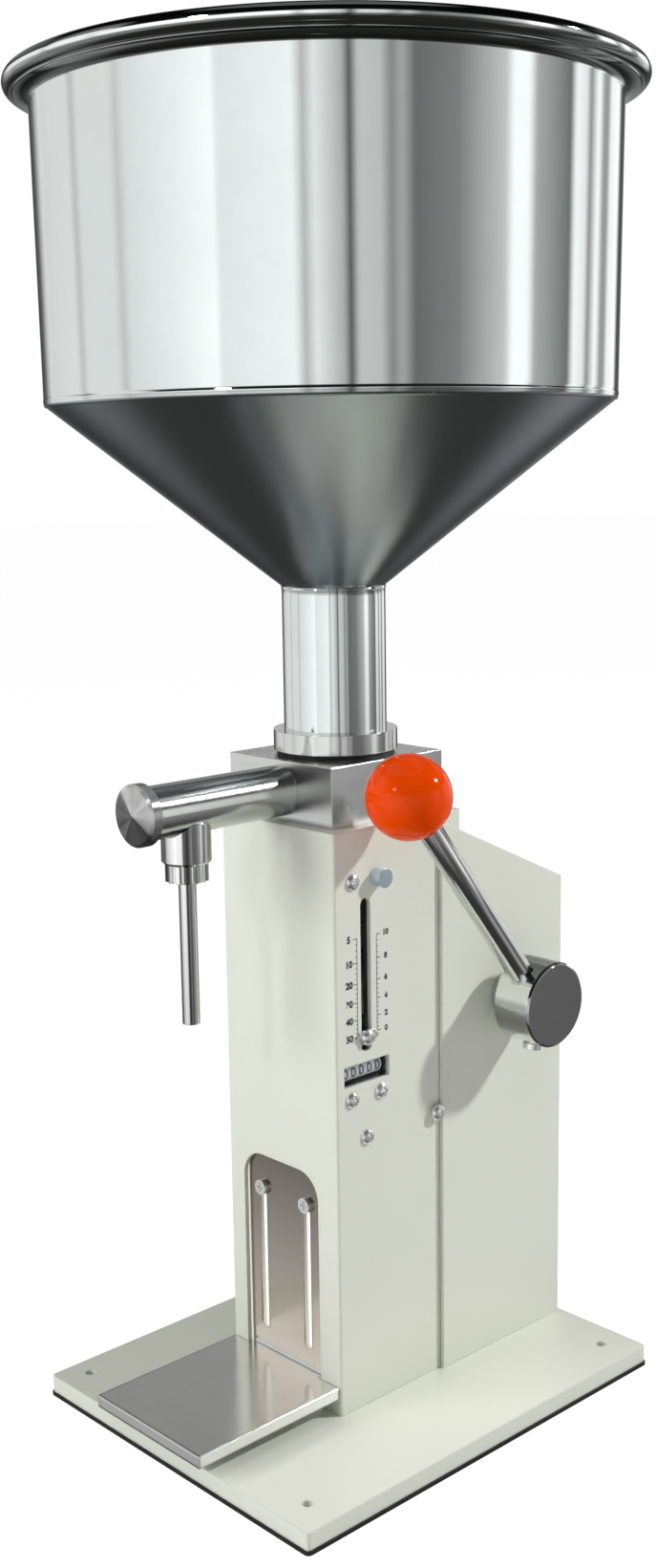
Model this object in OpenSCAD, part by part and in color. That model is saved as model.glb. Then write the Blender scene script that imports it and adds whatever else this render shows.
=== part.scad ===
// Manual paste filling machine: hopper, valve block and piston pump on a sheet-metal column,
// worked by a side lever, with a height-adjustable platform under the nozzle.
// Millimetres. Origin at the centre of the underside, +Z up, the nozzle points to -Y and the
// lever stands on the +X side.

/* [Base] */
// Width of the base plate
base_w = 212; // [196:1:250]
// Length of the base plate
base_l = 262; // [250:1:300]
// Thickness of the base plate
base_t = 9.5; // [7:0.5:14]
// Radius of the base plate's upright corners
base_corner_r = 2; // [0.5:0.5:6]
// Thickness of the rubber mat
mat_t = 2; // [1:0.5:4]
// Width of mat that shows past the plate
mat_over = 0.8; // [0.2:0.2:2]
// Distance of the bench bolts from the plate's sides
bench_in_x = 16; // [14:0.5:24]
// Distance of the bench bolts from the plate's front and back
bench_in_y = 17; // [14:0.5:30]
// Diameter of the bench bolt holes
bench_d = 5.5; // [4.5:0.1:8]
// Offset of the bench bolt pattern to the left
bench_shift = 3; // [0:0.5:5]

/* [Column casing] */
// Width of the column
col_w = 87; // [87:0.5:96]
// Depth of the column
col_d = 93; // [88:0.5:100]
// Height of the column above the base plate
col_h = 316.5; // [300:0.5:340]
// Thickness of the column's sheet
col_sheet = 2.5; // [2:0.1:3]
// Distance from the base centre to the column's front face
col_reach = 47; // [44:0.5:52]
// Offset of the column's middle to the left of the base centre
col_shift = 2.8; // [0:0.1:5]
// Radius of the column's front bends
col_bend_r = 1.5; // [0.5:0.1:3]
// Width of the arched opening for the platform's leg
arch_w = 59.5; // [50:0.5:66]
// Distance of the arched opening's top below the casing stay
arch_below = 21; // [18:0.5:30]
// Radius of the arch's two corners
arch_r = 15; // [8:0.5:24]
// Offset of the arch to the left of the column's middle
arch_shift = 1.9; // [0:0.1:3]

/* [Rear cover] */
// Thickness of the rear cover's sheet
cover_sheet = 2; // [1.5:0.1:3]
// Distance from the base centre to the cover's front edge
cover_front = 29.5; // [26:0.5:34]
// Width of base plate that shows behind the cover
cover_margin = 2.5; // [1:0.5:6]
// Distance of the cover's back top below the top of the column
cover_drop = 50.3; // [42:0.1:60]
// Height that the sloped top gains from the back to the column
cover_rise = 38.3; // [20:0.5:42]

/* [Pump] */
// Offset of the pump's axis to the left of the base centre
pump_shift = 6.7; // [6:0.1:8]
// Distance of the pump's axis behind the base centre
pump_back = 0.4; // [0:0.1:1.5]
// Bore of the pump cylinder
bore_d = 35; // [32:0.5:36]
// Wall of the pump cylinder
bore_wall = 4; // [3:0.1:4.2]
// Travel of the piston at the largest dose
stroke = 52; // [44:0.5:54]
// Length of the piston
piston_len = 16; // [14:0.5:18]
// Diameter of the piston rod
rod_d = 14; // [11:0.5:15]

/* [Valve block] */
// Width of the valve block
block_w = 78.7; // [76:0.1:80]
// Length of the valve block
block_l = 80.7; // [78:0.1:83]
// Height of the valve block
block_h = 31.7; // [31:0.1:36]
// Diameter of the inlet valve's seat
seat_d = 20; // [16:0.5:22]
// Travel of the inlet valve
inlet_lift = 4; // [3:0.5:5]

/* [Hopper] */
// Outer diameter of the hopper wall at its top
hopper_top_d = 296.2; // [280:0.2:310]
// Outer diameter of the hopper wall at the foot of the cylinder
hopper_low_d = 293.2; // [278:0.2:306]
// Thickness of the hopper sheet
hopper_wall = 1.2; // [0.8:0.1:2]
// Height of the hopper's cylinder, up to the brim
hopper_cyl_h = 144.5; // [110:0.5:170]
// Height of the hopper's cone
hopper_cone_h = 93.5; // [80:0.5:110]
// Outer diameter of the neck
neck_d = 54.6; // [53:0.1:58]
// Wall of the neck
neck_wall = 1.5; // [1:0.1:2]
// Height of the neck above the gasket
neck_h = 86; // [70:0.5:100]
// Width of the flared brim
brim_flare = 7.9; // [6:0.1:10]
// Height of the flared brim
brim_rise = 4.2; // [3:0.1:7]
// Height of the upright step above the flare
brim_step = 0.7; // [0.5:0.1:6]
// Radius of the rolled bead
bead_r = 4.6; // [3.5:0.1:6]
// Outer diameter of the neck's collar
collar_d = 66; // [62:0.5:70]
// Height of the neck's collar
collar_h = 10.6; // [8:0.1:13]
// Thickness of the gasket
gasket_t = 2.2; // [1:0.1:3]

/* [Outlet] */
// Outer diameter of the discharge tube
tube_d = 27; // [26:0.5:30]
// Length of the tube that shows in front of the block
tube_len = 89; // [80:0.5:100]
// Bore of the tube's wide part
tube_bore_d = 20; // [19:0.5:21]
// Diameter of the passage from the valve block
passage_d = 13; // [10:0.5:14]
// Diameter of the end cap
cap_d = 31.4; // [29:0.2:34]
// Length of the end cap
cap_len = 7; // [5:0.5:10]
// Distance of the nozzle in front of the base centre
nozzle_reach = 103; // [98:0.5:106]
// Diameter of the nozzle socket
socket_d = 25.3; // [22:0.1:26]
// Diameter of the nozzle nut
nut_d = 22; // [18:0.5:24]
// Height of the nozzle nut
nut_h = 9; // [7:0.5:12]
// Diameter of the nozzle pipe
pipe_d = 9; // [7:0.5:10]
// Wall of the nozzle pipe
pipe_wall = 1; // [0.6:0.1:1.5]
// Length of the nozzle pipe below the nut
pipe_len = 74.5; // [50:0.5:90]
// Travel of the discharge valve
discharge_lift = 8; // [5:0.5:9]

/* [Lever] */
// Distance from the pump's axis to the lever shaft
arm_len = 81.8; // [76:0.1:86]
// Diameter of the lever shaft
shaft_d = 16; // [12:0.5:17]
// Diameter of the hub
hub_d = 47; // [42:0.5:52]
// Length of the hub
hub_len = 24.8; // [20:0.1:30]
// Gap between the rear cover and the hub
hub_gap = 10.4; // [8:0.1:14]
// Lean of the lever from upright, towards the front
lever_lean = 38.2; // [30:0.1:45]
// Distance from the shaft's axis to the knob's centre
lever_len = 162.7; // [150:0.1:180]
// Diameter of the lever rod
lever_d = 13.6; // [10:0.1:16]
// Diameter of the ball knob
knob_d = 44.4; // [40:0.1:45]

/* [Platform] */
// Width of the platform
tray_w = 84.6; // [75:0.1:95]
// Distance of the platform's front edge from the base centre
tray_reach = 143; // [130:0.5:150]
// Height of the platform's top above the base plate
tray_h = 16.5; // [12:0.5:30]
// Depth of the platform's turned-down edges
tray_lip = 6.5; // [4:0.1:8]
// Thickness of the platform's sheet
tray_sheet = 2; // [1.5:0.1:2.2]
// Distance of the leg slots' lower ends above the platform
leg_slot_foot = 14; // [12:0.5:24]

/* [Scale and counter] */
// Distance of the scale's middle line in front of the base centre
scale_reach = 25.2; // [23:0.1:25.6]
// Width of the scale's slot
slot_w = 7; // [5.5:0.1:8]
// Length of the scale's slot
slot_len = 82; // [70:0.5:84]
// Distance of the slot's upper end below the top of the column
slot_drop = 36.5; // [32:0.5:38]
// Travel of the stroke stop along the slot
stop_travel = 66; // [50:1:66]
// Width of the counter's window
window_w = 32.5; // [30:0.1:33]
// Height of the counter's window
window_h = 11.5; // [10:0.1:12.5]
// Distance of the window's middle below the slot
window_below = 11.3; // [10.8:0.1:13.5]
// Diameter of the counter's number wheels
wheel_d = 10; // [8:0.1:10.5]
// Number of number wheels
wheel_count = 5; // [4:1:6]

/* [Hidden] */
$fn = 96;
// Overrun of every cut past the face that it opens
cut = 1;
// Gap between pieces that are screwed, seated or slid together
seat_gap = 0.1;
// Radial gap of a turning or sliding fit
run_gap = 0.05;
// Free gap round a moving piece
free_gap = 0.6;
// Facets of a hull's own children
hull_fn = 32;

// Colours
cream = [0.91, 0.91, 0.86];
steel = [0.72, 0.73, 0.74];
dark_steel = [0.45, 0.46, 0.48];
zinc = [0.62, 0.66, 0.72];
bronze = [0.72, 0.55, 0.3];
rubber_black = [0.08, 0.08, 0.08];
knob_orange = [0.86, 0.22, 0.03];
plastic_black = [0.12, 0.12, 0.13];
lens_clear = [0.8, 0.85, 0.88, 0.35];
white = [0.95, 0.95, 0.95];

// Base levels
base_top = mat_t + base_t;
bench_dx = base_w - 2 * bench_in_x;
bench_dy = base_l - 2 * bench_in_y;
base_screw_r = 2.5;
base_screw_head_r = 4.6;
base_screw_head_h = 2.6;

// Column faces
col_x = -col_shift;
col_front = -col_reach;
col_rear = col_front + col_d;
col_top = base_top + col_h;
col_left = col_x - col_w / 2;
col_right = col_x + col_w / 2;
col_in_left = col_left + col_sheet;
col_in_right = col_right - col_sheet;
col_foot_w = 14;
col_foot_front = 12;
col_foot_screw_inset = 10;
col_lip_h = 28;
arch_x = col_x - arch_shift;

// Levels on the column's side, from its top down
slot_high = col_top - slot_drop;
slot_low = slot_high - slot_len;
window_z = slot_low - window_below;
counter_screw_below = 12.5;
counter_screw_z = window_z - counter_screw_below;
stay_below = 22.7;
stay_z = counter_screw_z - stay_below;
arch_top = stay_z - arch_below;

// Rear cover faces
cover_gap = 0.4;
cover_back = base_l / 2 - cover_margin;
cover_left = col_left - cover_gap - cover_sheet;
cover_right = col_right + cover_gap + cover_sheet;
cover_back_z = col_top - cover_drop;
cover_slope = cover_rise / (cover_back - col_rear);
cover_front_z = cover_back_z + cover_slope * (cover_back - cover_front);
cover_foot = 12;
cover_screw_in = 7;
cover_screw_dx = 50;

// Pump axis and valve block faces
pump_x = -pump_shift;
pump_y = pump_back;
block_front = pump_y - block_l / 2;
block_top = col_top + block_h;
block_mid_z = col_top + block_h / 2;

// Pump cylinder, from the block down
cyl_r = bore_d / 2 + bore_wall;
cyl_in = 6;
cyl_top = col_top + cyl_in;
crown_gap = 2;
crown_z = cyl_top - crown_gap;
end_gap = 2;
cyl_bottom = crown_z - piston_len - stroke - end_gap;
cyl_flange_out = 12.5;
cyl_flange_r = cyl_r + cyl_flange_out;
cyl_flange_t = 6;
cyl_flange_z = col_top - col_sheet - cyl_flange_t - seat_gap;
block_screw_r = 3;
block_screw_head_r = 5;
block_screw_head_h = 5;
block_screw_in = 11;
block_screw_out = 6.5;
block_screw_pcr = cyl_r + block_screw_out;
cap_wall = 2.4;
cap_floor = 8;
cap_grip = 8;
cap_bottom = cyl_bottom - cap_floor;
bush_flange_t = 2;
rod_bush_wall = 3;

// Cross pin, sleeves and lever shaft, from the cylinder cap down
pin_r = 4;
sleeve_wall = 2.5;
sleeve_r = pin_r + sleeve_wall;
pin_clear = 3;
pin_z = cap_bottom - pin_clear - sleeve_r;
rod_tail = 8;
shaft_z = pin_z - stroke / 2;
shaft_y = pump_y + arm_len;
arm_angle = atan(stroke / 2 / arm_len);
shaft_r = shaft_d / 2;

// Rocker arm
cheek_t = 5;
fork_clear = 3;
fork_gap = cyl_r + fork_clear;
fork_half = fork_gap + cheek_t;
arm_r = 10;
boss_wall = 7;
boss_r = shaft_r + boss_wall;
slot_play = 0.75;
slot_slack = 0.6;
arm_slot_near = arm_len - slot_slack;
arm_slot_far = arm_len / cos(arm_angle) + slot_slack;
rocker_pin_r = 2.5;
rocker_pin_x = pump_x;
pin_end = 2;
clip_t = 0.8;
clip_over = 2;
clip_r = pin_r + clip_over;
clip_groove = 0.8;

// Bearing frame
frame_t = 5.5;
collar_len = 4;
collar_wall = 6;
collar_r = shaft_r + collar_wall;
bush_wall = 3;
bush_r = shaft_r + bush_wall;
bush_flange_over = 3;
bush_flange_r = bush_r + bush_flange_over;
boss_left = pump_x - fork_half;
boss_right = pump_x + fork_half;
frame_in_left = boss_left - free_gap - bush_flange_t;
frame_in_right = boss_right + collar_len + 2 * seat_gap + seat_gap + bush_flange_t;
frame_left = frame_in_left - frame_t;
frame_right = frame_in_right + frame_t;
frame_half = 19;
frame_front = shaft_y - frame_half;
tie_clear = 2.5;
tie_front = shaft_y + boss_r + tie_clear;
frame_back = tie_front + frame_t;
frame_top_over = 21;
frame_top = shaft_z + frame_top_over;
tie_down = 10;
tie_h = 80;
tie_high = shaft_z - tie_down;
tie_low = tie_high - tie_h;
frame_screw_r = 3;
frame_screw_head_r = 5.5;
frame_screw_head_h = 4.5;
frame_screw_in_x = 13;
frame_screw_in_y = 7.5;
frame_screw_depth = 8;

// Casing stay, from the column's side to the bearing frame
stay_t = 2.4;
stay_h = 11;
stay_end = 6;
stay_bolt_end = 8;
stay_front = -scale_reach - stay_end;
stay_back = shaft_y + stay_bolt_end;
stay_x = col_in_right - stay_t - seat_gap;
stay_packer = stay_x - frame_right;
stay_bolt_y = shaft_y;

// Side screws
screw_r = 2;
screw_head_r = 4.6;
screw_head_h = 2.6;
lock_head_r = 5;
lock_head_h = 6.6;
phillips_w = 1.1;
phillips_len = 5;
phillips_depth = 1.4;
dome_steps = 5;
edge_screw_y = 26;
edge_screw_r = 3;
edge_screw_head_r = 4.7;

// Hub, lever rod and knob
hub_x0 = cover_right + hub_gap;
hub_x1 = hub_x0 + hub_len;
hub_mid = (hub_x0 + hub_x1) / 2;
hub_chamfer = 1.2;
hub_bore_share = 0.72;
shaft_end_gap = 0.4;
spacer_wall = 5;
spacer_r = shaft_r + spacer_wall;
cover_hole_gap = 1.5;
lever_seat_wall = 2.6;
lever_seat = shaft_r + lever_seat_wall;
hub_screw_r = 3.5;
hub_screw_head_r = 5;
hub_screw_head_h = 3.2;
hub_screw_tilt = 12;
knob_r = knob_d / 2;
knob_flat = 1.2;
knob_pin_r = 5;
knob_pin_share = 0.8;

// Block passages
passage_r = passage_d / 2;
seat_r = seat_d / 2;
chamber_over = 6;
chamber_r = seat_r + chamber_over;
seat_t = 3.2;
chamber_cover = 0.65;
chamber_top = block_mid_z + passage_r + chamber_cover;
spigot_r = neck_d / 2 - neck_wall - free_gap;
spigot_h = 12;
spigot_wall = 3.2;
spigot_bore_r = spigot_r - spigot_wall;
cone_lip = 1.4;
cone_top = block_top + cone_lip;
spider_seat = 3;
spider_r = chamber_r + spider_seat;
spider_t = 2.6;
spider_arm = 4;
spider_ring = 3;
spider_hub_r = 5.5;
spider_floor = 1;
valve_stem_r = 3;
valve_lap = 3.5;
valve_disc_r = seat_r + valve_lap;
valve_disc_t = 3;
inlet_disc_z = chamber_top - seat_gap - valve_disc_t;
spider_z = cyl_top + seat_gap;
inlet_stem_z = spider_z + spider_floor + inlet_lift + free_gap;
spider_sleeve_top = inlet_disc_z - inlet_lift - free_gap;

// Springs
coil_rings = 8;
coil_sides = 6;
inlet_wire_r = 0.4;
inlet_coil_gap = 1.9;
inlet_coil_r = spider_hub_r + inlet_coil_gap;
inlet_turns = 4;
discharge_wire_r = 0.55;
discharge_coil_r = 6.6;
discharge_turns = 9;

// Hopper levels
gasket_z = block_top;
neck_z = block_top + gasket_t;
neck_r = neck_d / 2;
cone_z = neck_z + neck_h;
wall_z = cone_z + hopper_cone_h;
brim_z = wall_z + hopper_cyl_h;
wall_low_r = hopper_low_d / 2;
wall_top_r = hopper_top_d / 2;
gasket_over = 4;
flare_steps = 8;

// Discharge tube along -Y
tube_r = tube_d / 2;
tube_bore_r = tube_bore_d / 2;
tube_front = block_front - tube_len;
thread_wall = 2.5;
thread_r = tube_r - thread_wall;
thread_len = 12;
valve_seat_back = 30;
valve_seat_y = block_front - valve_seat_back;
port_r = 4;
cap_plug_len = 11;
cap_chamfer = 1.8;
cap_cone_h = 0.8;
flap_lap = 2.6;
flap_r = passage_r + flap_lap;
flap_t = 4;
fin_len = 12;
fin_t = 3;
fin_hub_r = 3.2;
valve_tail = 11;
nozzle_y = -nozzle_reach;
socket_r = socket_d / 2;
socket_h = 14.5;
socket_low = block_mid_z - tube_r - socket_h;
socket_chamfer = 1.2;
socket_bore_r = 6.3;
nut_r = nut_d / 2;
nut_low = socket_low - nut_h;
nut_spigot_h = 6;
knurl_r = 1.3;
knurl_count = 14;
pipe_r = pipe_d / 2;
pipe_low = nut_low - pipe_len;
pipe_flange_t = 2;
socket_bore_end = 1;
socket_bore_h = nut_spigot_h + pipe_flange_t + socket_bore_end;
pipe_step = 0.2;
pipe_step_below = 1.5;

// Platform
tray_off = 0.1;
tray_x = col_x + tray_off;
tray_top = base_top + tray_h;
tray_low = tray_top - tray_sheet;
tray_front = -tray_reach;
tray_gap = 0.6;
tray_rear = col_front - tray_gap;
leg_gap = 0.3;
leg_side_gap = 1;
leg_w = arch_w - 2 * leg_side_gap;
leg_y = col_front + col_sheet + leg_gap;
leg_over = 8;
leg_top = arch_top + leg_over;
leg_slot_dx = 35;
leg_slot_w = 5.3;
leg_screw_below = 20;
leg_screw_z = arch_top - leg_screw_below;
leg_slot_low = tray_top + leg_slot_foot;
leg_screw_r = 2;
leg_screw_head_r = 4.2;
leg_screw_head_h = 2.3;
backing_t = 2;
backing_y = leg_y + tray_sheet + leg_gap;
backing_flange = 14;
backing_up = 6;
backing_low = base_top + backing_up;

// Scale, stop and counter, on the right side of the column
scale_y = -scale_reach;
slot_r = slot_w / 2;
rail_t = 3;
rail_front = 15;
rail_back = 17;
rail_x = col_in_right - rail_t - seat_gap;
rail_screw_dy = 8.7;
rail_screw_up = 9.9;
rail_screw_z = slot_high + rail_screw_up;
rail_over = 6.5;
rail_top = rail_screw_z + rail_over;
pointer_up = 4.5;
pointer_z = slot_low + slot_r + pointer_up;
stop_t = 9;
stop_half_y = 7.5;
stop_half_z = 8;
stop_gap = 0.3;
stop_x = rail_x - stop_t - stop_gap;
key_gap = 0.4;
key_w = slot_w - 2 * key_gap;
key_r = key_w / 2;
pointer_t = 0.8;
pointer_x = col_right + stop_gap;
pointer_half = 8;
pointer_h = 7;
pointer_head_r = 4.4;
pointer_head_h = 3;
case_wall = 1.4;
lens_t = 1.2;
lens_back = 0.2;
wheel_r = wheel_d / 2;
wheel_clear = 0.4;
case_depth = lens_t + lens_back + wheel_d + 2 * wheel_clear + case_wall;
case_over_y = 0.4;
case_over_z = 2;
case_half_y = window_w / 2 + case_over_y;
case_half_z = window_h / 2 + case_over_z;
case_x1 = col_in_right - seat_gap;
case_x0 = case_x1 - case_depth;
wheel_x = case_x1 - lens_t - lens_back - wheel_clear - wheel_r;
wheel_gap = 0.4;
wheel_end_gap = 0.6;
wheel_w = (2 * (case_half_y - case_wall - wheel_end_gap)) / wheel_count - wheel_gap;
axle_r = 1.2;
case_flange_h = 10;
case_flange_t = 3;
counter_screw_dy = 10.5;

// A cylinder along X from x0 to x1
module rod_x(r, x0, x1) {
    translate([x0, 0, 0])
        rotate([0, 90, 0])
            cylinder(r = r, h = x1 - x0);
}

// A cylinder along Y from y0 to y1
module rod_y(r, y0, y1) {
    translate([0, y1, 0])
        rotate([90, 0, 0])
            cylinder(r = r, h = y1 - y0);
}

// An upright cylinder from z0 to z1
module rod_z(r, z0, z1) {
    translate([0, 0, z0])
        cylinder(r = r, h = z1 - z0);
}

// An upright tube
module tube_z(r_out, r_in, z0, z1) {
    difference() {
        rod_z(r_out, z0, z1);
        rod_z(r_in, z0 - cut, z1 + cut);
    }
}

// A box between two corners
module box(low, high) {
    translate(low)
        cube(high - low);
}

// An outline in Y and Z, extruded along X from x0 to x1
module side_plate(points, x0, x1) {
    translate([x0, 0, 0])
        rotate([90, 0, 90])
            linear_extrude(x1 - x0)
                polygon(points);
}

// A plate with rounded upright corners
module round_plate(w, l, r, z0, z1) {
    box([-w / 2 + r, -l / 2, z0], [w / 2 - r, l / 2, z1]);
    box([-w / 2, -l / 2 + r, z0], [w / 2, l / 2 - r, z1]);
    for (sx = [-1, 1], sy = [-1, 1])
        translate([sx * (w / 2 - r), sy * (l / 2 - r), 0])
            rod_z(r, z0, z1);
}

// Children at the four corners of a rectangle
module corners(dx, dy) {
    for (sx = [-1, 1], sy = [-1, 1])
        translate([sx * dx / 2, sy * dy / 2, 0])
            children();
}

// A slot along Z, cut through along X
module slot_x(half, z0, z1, x0, x1) {
    box([x0, -half, z0], [x1, half, z1]);
    translate([0, 0, z0]) rod_x(half, x0, x1);
    translate([0, 0, z1]) rod_x(half, x0, x1);
}

// A pan-head cross-recessed screw along X: the head stands on x0 and points to +X
module side_screw(x0, tip, head_r, head_h) {
    dome = [for (i = [0 : dome_steps])
        [head_r * cos(90 * i / dome_steps), head_h * sin(90 * i / dome_steps)]];
    difference() {
        union() {
            translate([x0, 0, 0])
                rotate([0, 90, 0])
                    rotate_extrude()
                        polygon(concat([[0, 0]], dome));
            rod_x(screw_r, x0 - tip, x0 + head_h / 4);
        }
        box([x0 + head_h - phillips_depth, -phillips_w / 2, -phillips_len / 2],
            [x0 + head_h + cut, phillips_w / 2, phillips_len / 2]);
        box([x0 + head_h - phillips_depth, -phillips_len / 2, -phillips_w / 2],
            [x0 + head_h + cut, phillips_len / 2, phillips_w / 2]);
    }
}

// A wound spring along Z from z0 to z1 as one tube of six sides
function coil_point(r, z0, z1, turns, i) =
    let (share = i / (turns * coil_rings))
    [r * cos(360 * i / coil_rings), r * sin(360 * i / coil_rings), z0 + (z1 - z0) * share];

module coil_spring(r, wire_r, z0, z1, turns) {
    low = z0 + wire_r;
    high = z1 - wire_r;
    last = turns * coil_rings;
    points = [
        for (i = [0 : last], k = [0 : coil_sides - 1])
        let (
            c = coil_point(r, low, high, turns, i),
            side = wire_r * cos(360 * k / coil_sides),
            up = wire_r * sin(360 * k / coil_sides)
        )
        [c.x * (1 + side / r), c.y * (1 + side / r), c.z + up]
    ];
    skin = [
        for (i = [0 : last - 1], k = [0 : coil_sides - 1], half = [0, 1])
        let (
            a = i * coil_sides + k,
            b = i * coil_sides + (k + 1) % coil_sides,
            c = a + coil_sides,
            d = b + coil_sides
        )
        half == 0 ? [a, c, b] : [b, c, d]
    ];
    ends = [
        for (k = [1 : coil_sides - 2], end = [0, 1])
        end == 0 ? [0, k, k + 1]
            : [last * coil_sides, last * coil_sides + k + 1, last * coil_sides + k]
    ];
    polyhedron(points, concat(skin, ends));
    gap = min([
        for (i = [0 : last - coil_rings])
        norm(coil_point(r, low, high, turns, i + coil_rings) - coil_point(r, low, high, turns, i))
            - 2 * wire_r
    ]);
    echo(least_gap_between_turns = gap);
}

// Places of the countersunk screws that come up through the base plate
column_screw_spots = [
    for (sx = [-1, 1], y = [col_front + col_foot_front + col_foot_screw_inset,
                            col_rear - col_foot_screw_inset])
    [col_x + sx * (col_w / 2 - col_sheet - col_foot_w / 2), y]
];
cover_screw_spots = [
    for (sx = [-1, 1])
    [col_x + sx * cover_screw_dx / 2, cover_back - cover_sheet - cover_screw_in]
];
base_screw_spots = concat(column_screw_spots, cover_screw_spots);
frame_screw_spots = [
    for (x = [frame_in_left + frame_screw_in_x, frame_in_right - frame_screw_in_x],
         y = [frame_front + frame_screw_in_y, frame_back - frame_screw_in_y])
    [x, y]
];

module bench_holes(z0, z1) {
    translate([-bench_shift, 0, 0])
        corners(bench_dx, bench_dy)
            rod_z(bench_d / 2, z0, z1);
}

// Base

module base_plate() {
    color(cream)
        difference() {
            round_plate(base_w, base_l, base_corner_r, mat_t, base_top);
            bench_holes(mat_t - cut, base_top + cut);
            for (p = base_screw_spots)
                translate([p.x, p.y, 0]) {
                    rod_z(base_screw_r + seat_gap, mat_t - cut, base_top + cut);
                    rod_z(base_screw_head_r + seat_gap, mat_t - cut,
                        mat_t + base_screw_head_h + seat_gap);
                }
            for (p = frame_screw_spots)
                translate([p.x, p.y, 0])
                    rod_z(frame_screw_r + run_gap, base_top - frame_screw_depth, base_top + cut);
        }
}

module base_mat() {
    color(rubber_black)
        difference() {
            round_plate(base_w + 2 * mat_over, base_l + 2 * mat_over,
                base_corner_r + mat_over, 0, mat_t);
            bench_holes(-cut, mat_t + cut);
        }
}

module base_screws() {
    color(zinc)
        for (p = base_screw_spots)
            translate([p.x, p.y, 0])
                difference() {
                    union() {
                        rod_z(base_screw_r, mat_t, base_top + cover_sheet + col_sheet);
                        rod_z(base_screw_head_r, mat_t, mat_t + base_screw_head_h);
                    }
                    translate([0, 0, mat_t - cut])
                        cylinder(r = base_screw_r, h = cut + base_screw_head_h / 2, $fn = 6);
                }
}

// Column casing

module column_shell() {
    front_in = col_front + col_bend_r;
    difference() {
        union() {
            box([col_left, front_in, base_top], [col_right, col_rear, col_top]);
            box([col_left + col_bend_r, col_front, base_top],
                [col_right - col_bend_r, front_in + cut, col_top]);
            for (x = [col_left + col_bend_r, col_right - col_bend_r])
                translate([x, front_in, 0])
                    rod_z(col_bend_r, base_top, col_top);
        }
        box([col_in_left, col_front + col_sheet, base_top - cut],
            [col_in_right, col_rear + cut, col_top - col_sheet]);
    }
    for (x = [col_in_left, col_in_right - col_foot_w])
        box([x, col_front + col_foot_front, base_top],
            [x + col_foot_w, col_rear, base_top + col_sheet]);
    box([col_in_left - cut, col_rear - col_sheet, col_top - col_lip_h],
        [col_in_right + cut, col_rear, col_top - cut]);
}

module arch_cut() {
    y0 = col_front - cut;
    y1 = col_front + col_sheet + cut;
    translate([arch_x, 0, 0]) {
        box([-arch_w / 2, y0, base_top - cut], [arch_w / 2, y1, arch_top - arch_r]);
        box([-arch_w / 2 + arch_r, y0, base_top - cut], [arch_w / 2 - arch_r, y1, arch_top]);
        for (sx = [-1, 1])
            translate([sx * (arch_w / 2 - arch_r), 0, arch_top - arch_r])
                rod_y(arch_r, y0, y1);
    }
}

module side_holes(r, x0, x1) {
    for (dy = [-counter_screw_dy, counter_screw_dy])
        translate([0, scale_y + dy, counter_screw_z]) rod_x(r, x0, x1);
    for (dy = [-rail_screw_dy, rail_screw_dy])
        translate([0, scale_y + dy, rail_screw_z]) rod_x(r, x0, x1);
    translate([0, scale_y, stay_z]) rod_x(r, x0, x1);
}

module column_casing() {
    x0 = col_in_right - cut;
    x1 = col_right + cut;
    color(cream)
        difference() {
            column_shell();
            arch_cut();
            translate([0, scale_y, 0])
                slot_x(slot_r, slot_low + slot_r, slot_high - slot_r, x0, x1);
            box([x0, scale_y - window_w / 2, window_z - window_h / 2],
                [x1, scale_y + window_w / 2, window_z + window_h / 2]);
            side_holes(screw_r + seat_gap, x0, x1);
            for (x = [col_left - cut, x0])
                translate([0, edge_screw_y, stay_z])
                    rod_x(screw_r + seat_gap, x, x + col_sheet + 2 * cut);
            translate([pump_x, pump_y, 0]) {
                rod_z(cyl_r + free_gap, col_top - col_sheet - cut, col_top + cut);
                corners(block_screw_pcr * sqrt(2), block_screw_pcr * sqrt(2))
                    rod_z(block_screw_r + seat_gap, col_top - col_sheet - cut, col_top + cut);
            }
            for (p = column_screw_spots)
                translate([p.x, p.y, 0])
                    rod_z(base_screw_r + run_gap, base_top - cut, base_top + col_sheet + cut);
        }
}

// Rear cover

module rear_cover() {
    side = [
        [cover_front, base_top],
        [cover_back, base_top],
        [cover_back, cover_back_z],
        [cover_front, cover_front_z]
    ];
    inside = [
        [cover_front - cut, base_top - cut],
        [cover_back - cover_sheet, base_top - cut],
        [cover_back - cover_sheet, cover_back_z + cover_slope * cover_sheet - cover_sheet],
        [cover_front - cut, cover_front_z + cover_slope * cut - cover_sheet]
    ];
    in_left = cover_left + cover_sheet;
    in_right = cover_right - cover_sheet;
    color(cream)
        difference() {
            union() {
                difference() {
                    side_plate(side, cover_left, cover_right);
                    side_plate(inside, in_left, in_right);
                    box([in_left, cover_front - cut, base_top - cut],
                        [in_right, col_rear + cover_gap, cover_front_z + cut]);
                }
                box([in_left - cover_sheet / 2, cover_back - cover_foot, base_top],
                    [in_right + cover_sheet / 2, cover_back - cover_sheet / 2,
                     base_top + cover_sheet]);
            }
            translate([0, shaft_y, shaft_z])
                rod_x(shaft_r + cover_hole_gap, cover_right - cover_sheet - cut,
                    cover_right + cut);
            for (p = cover_screw_spots)
                translate([p.x, p.y, 0])
                    rod_z(base_screw_r + run_gap, base_top - cut, base_top + cover_sheet + cut);
        }
}

// Shoulder screws whose heads hold the front edges of the rear cover
module edge_screw() {
    shoulder = cover_gap + cover_sheet + seat_gap;
    x0 = col_right + shoulder;
    translate([0, edge_screw_y, stay_z]) {
        side_screw(x0, shoulder + col_sheet + stay_t, edge_screw_head_r, screw_head_h);
        rod_x(edge_screw_r, col_right + run_gap, x0 + run_gap);
    }
}

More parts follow.
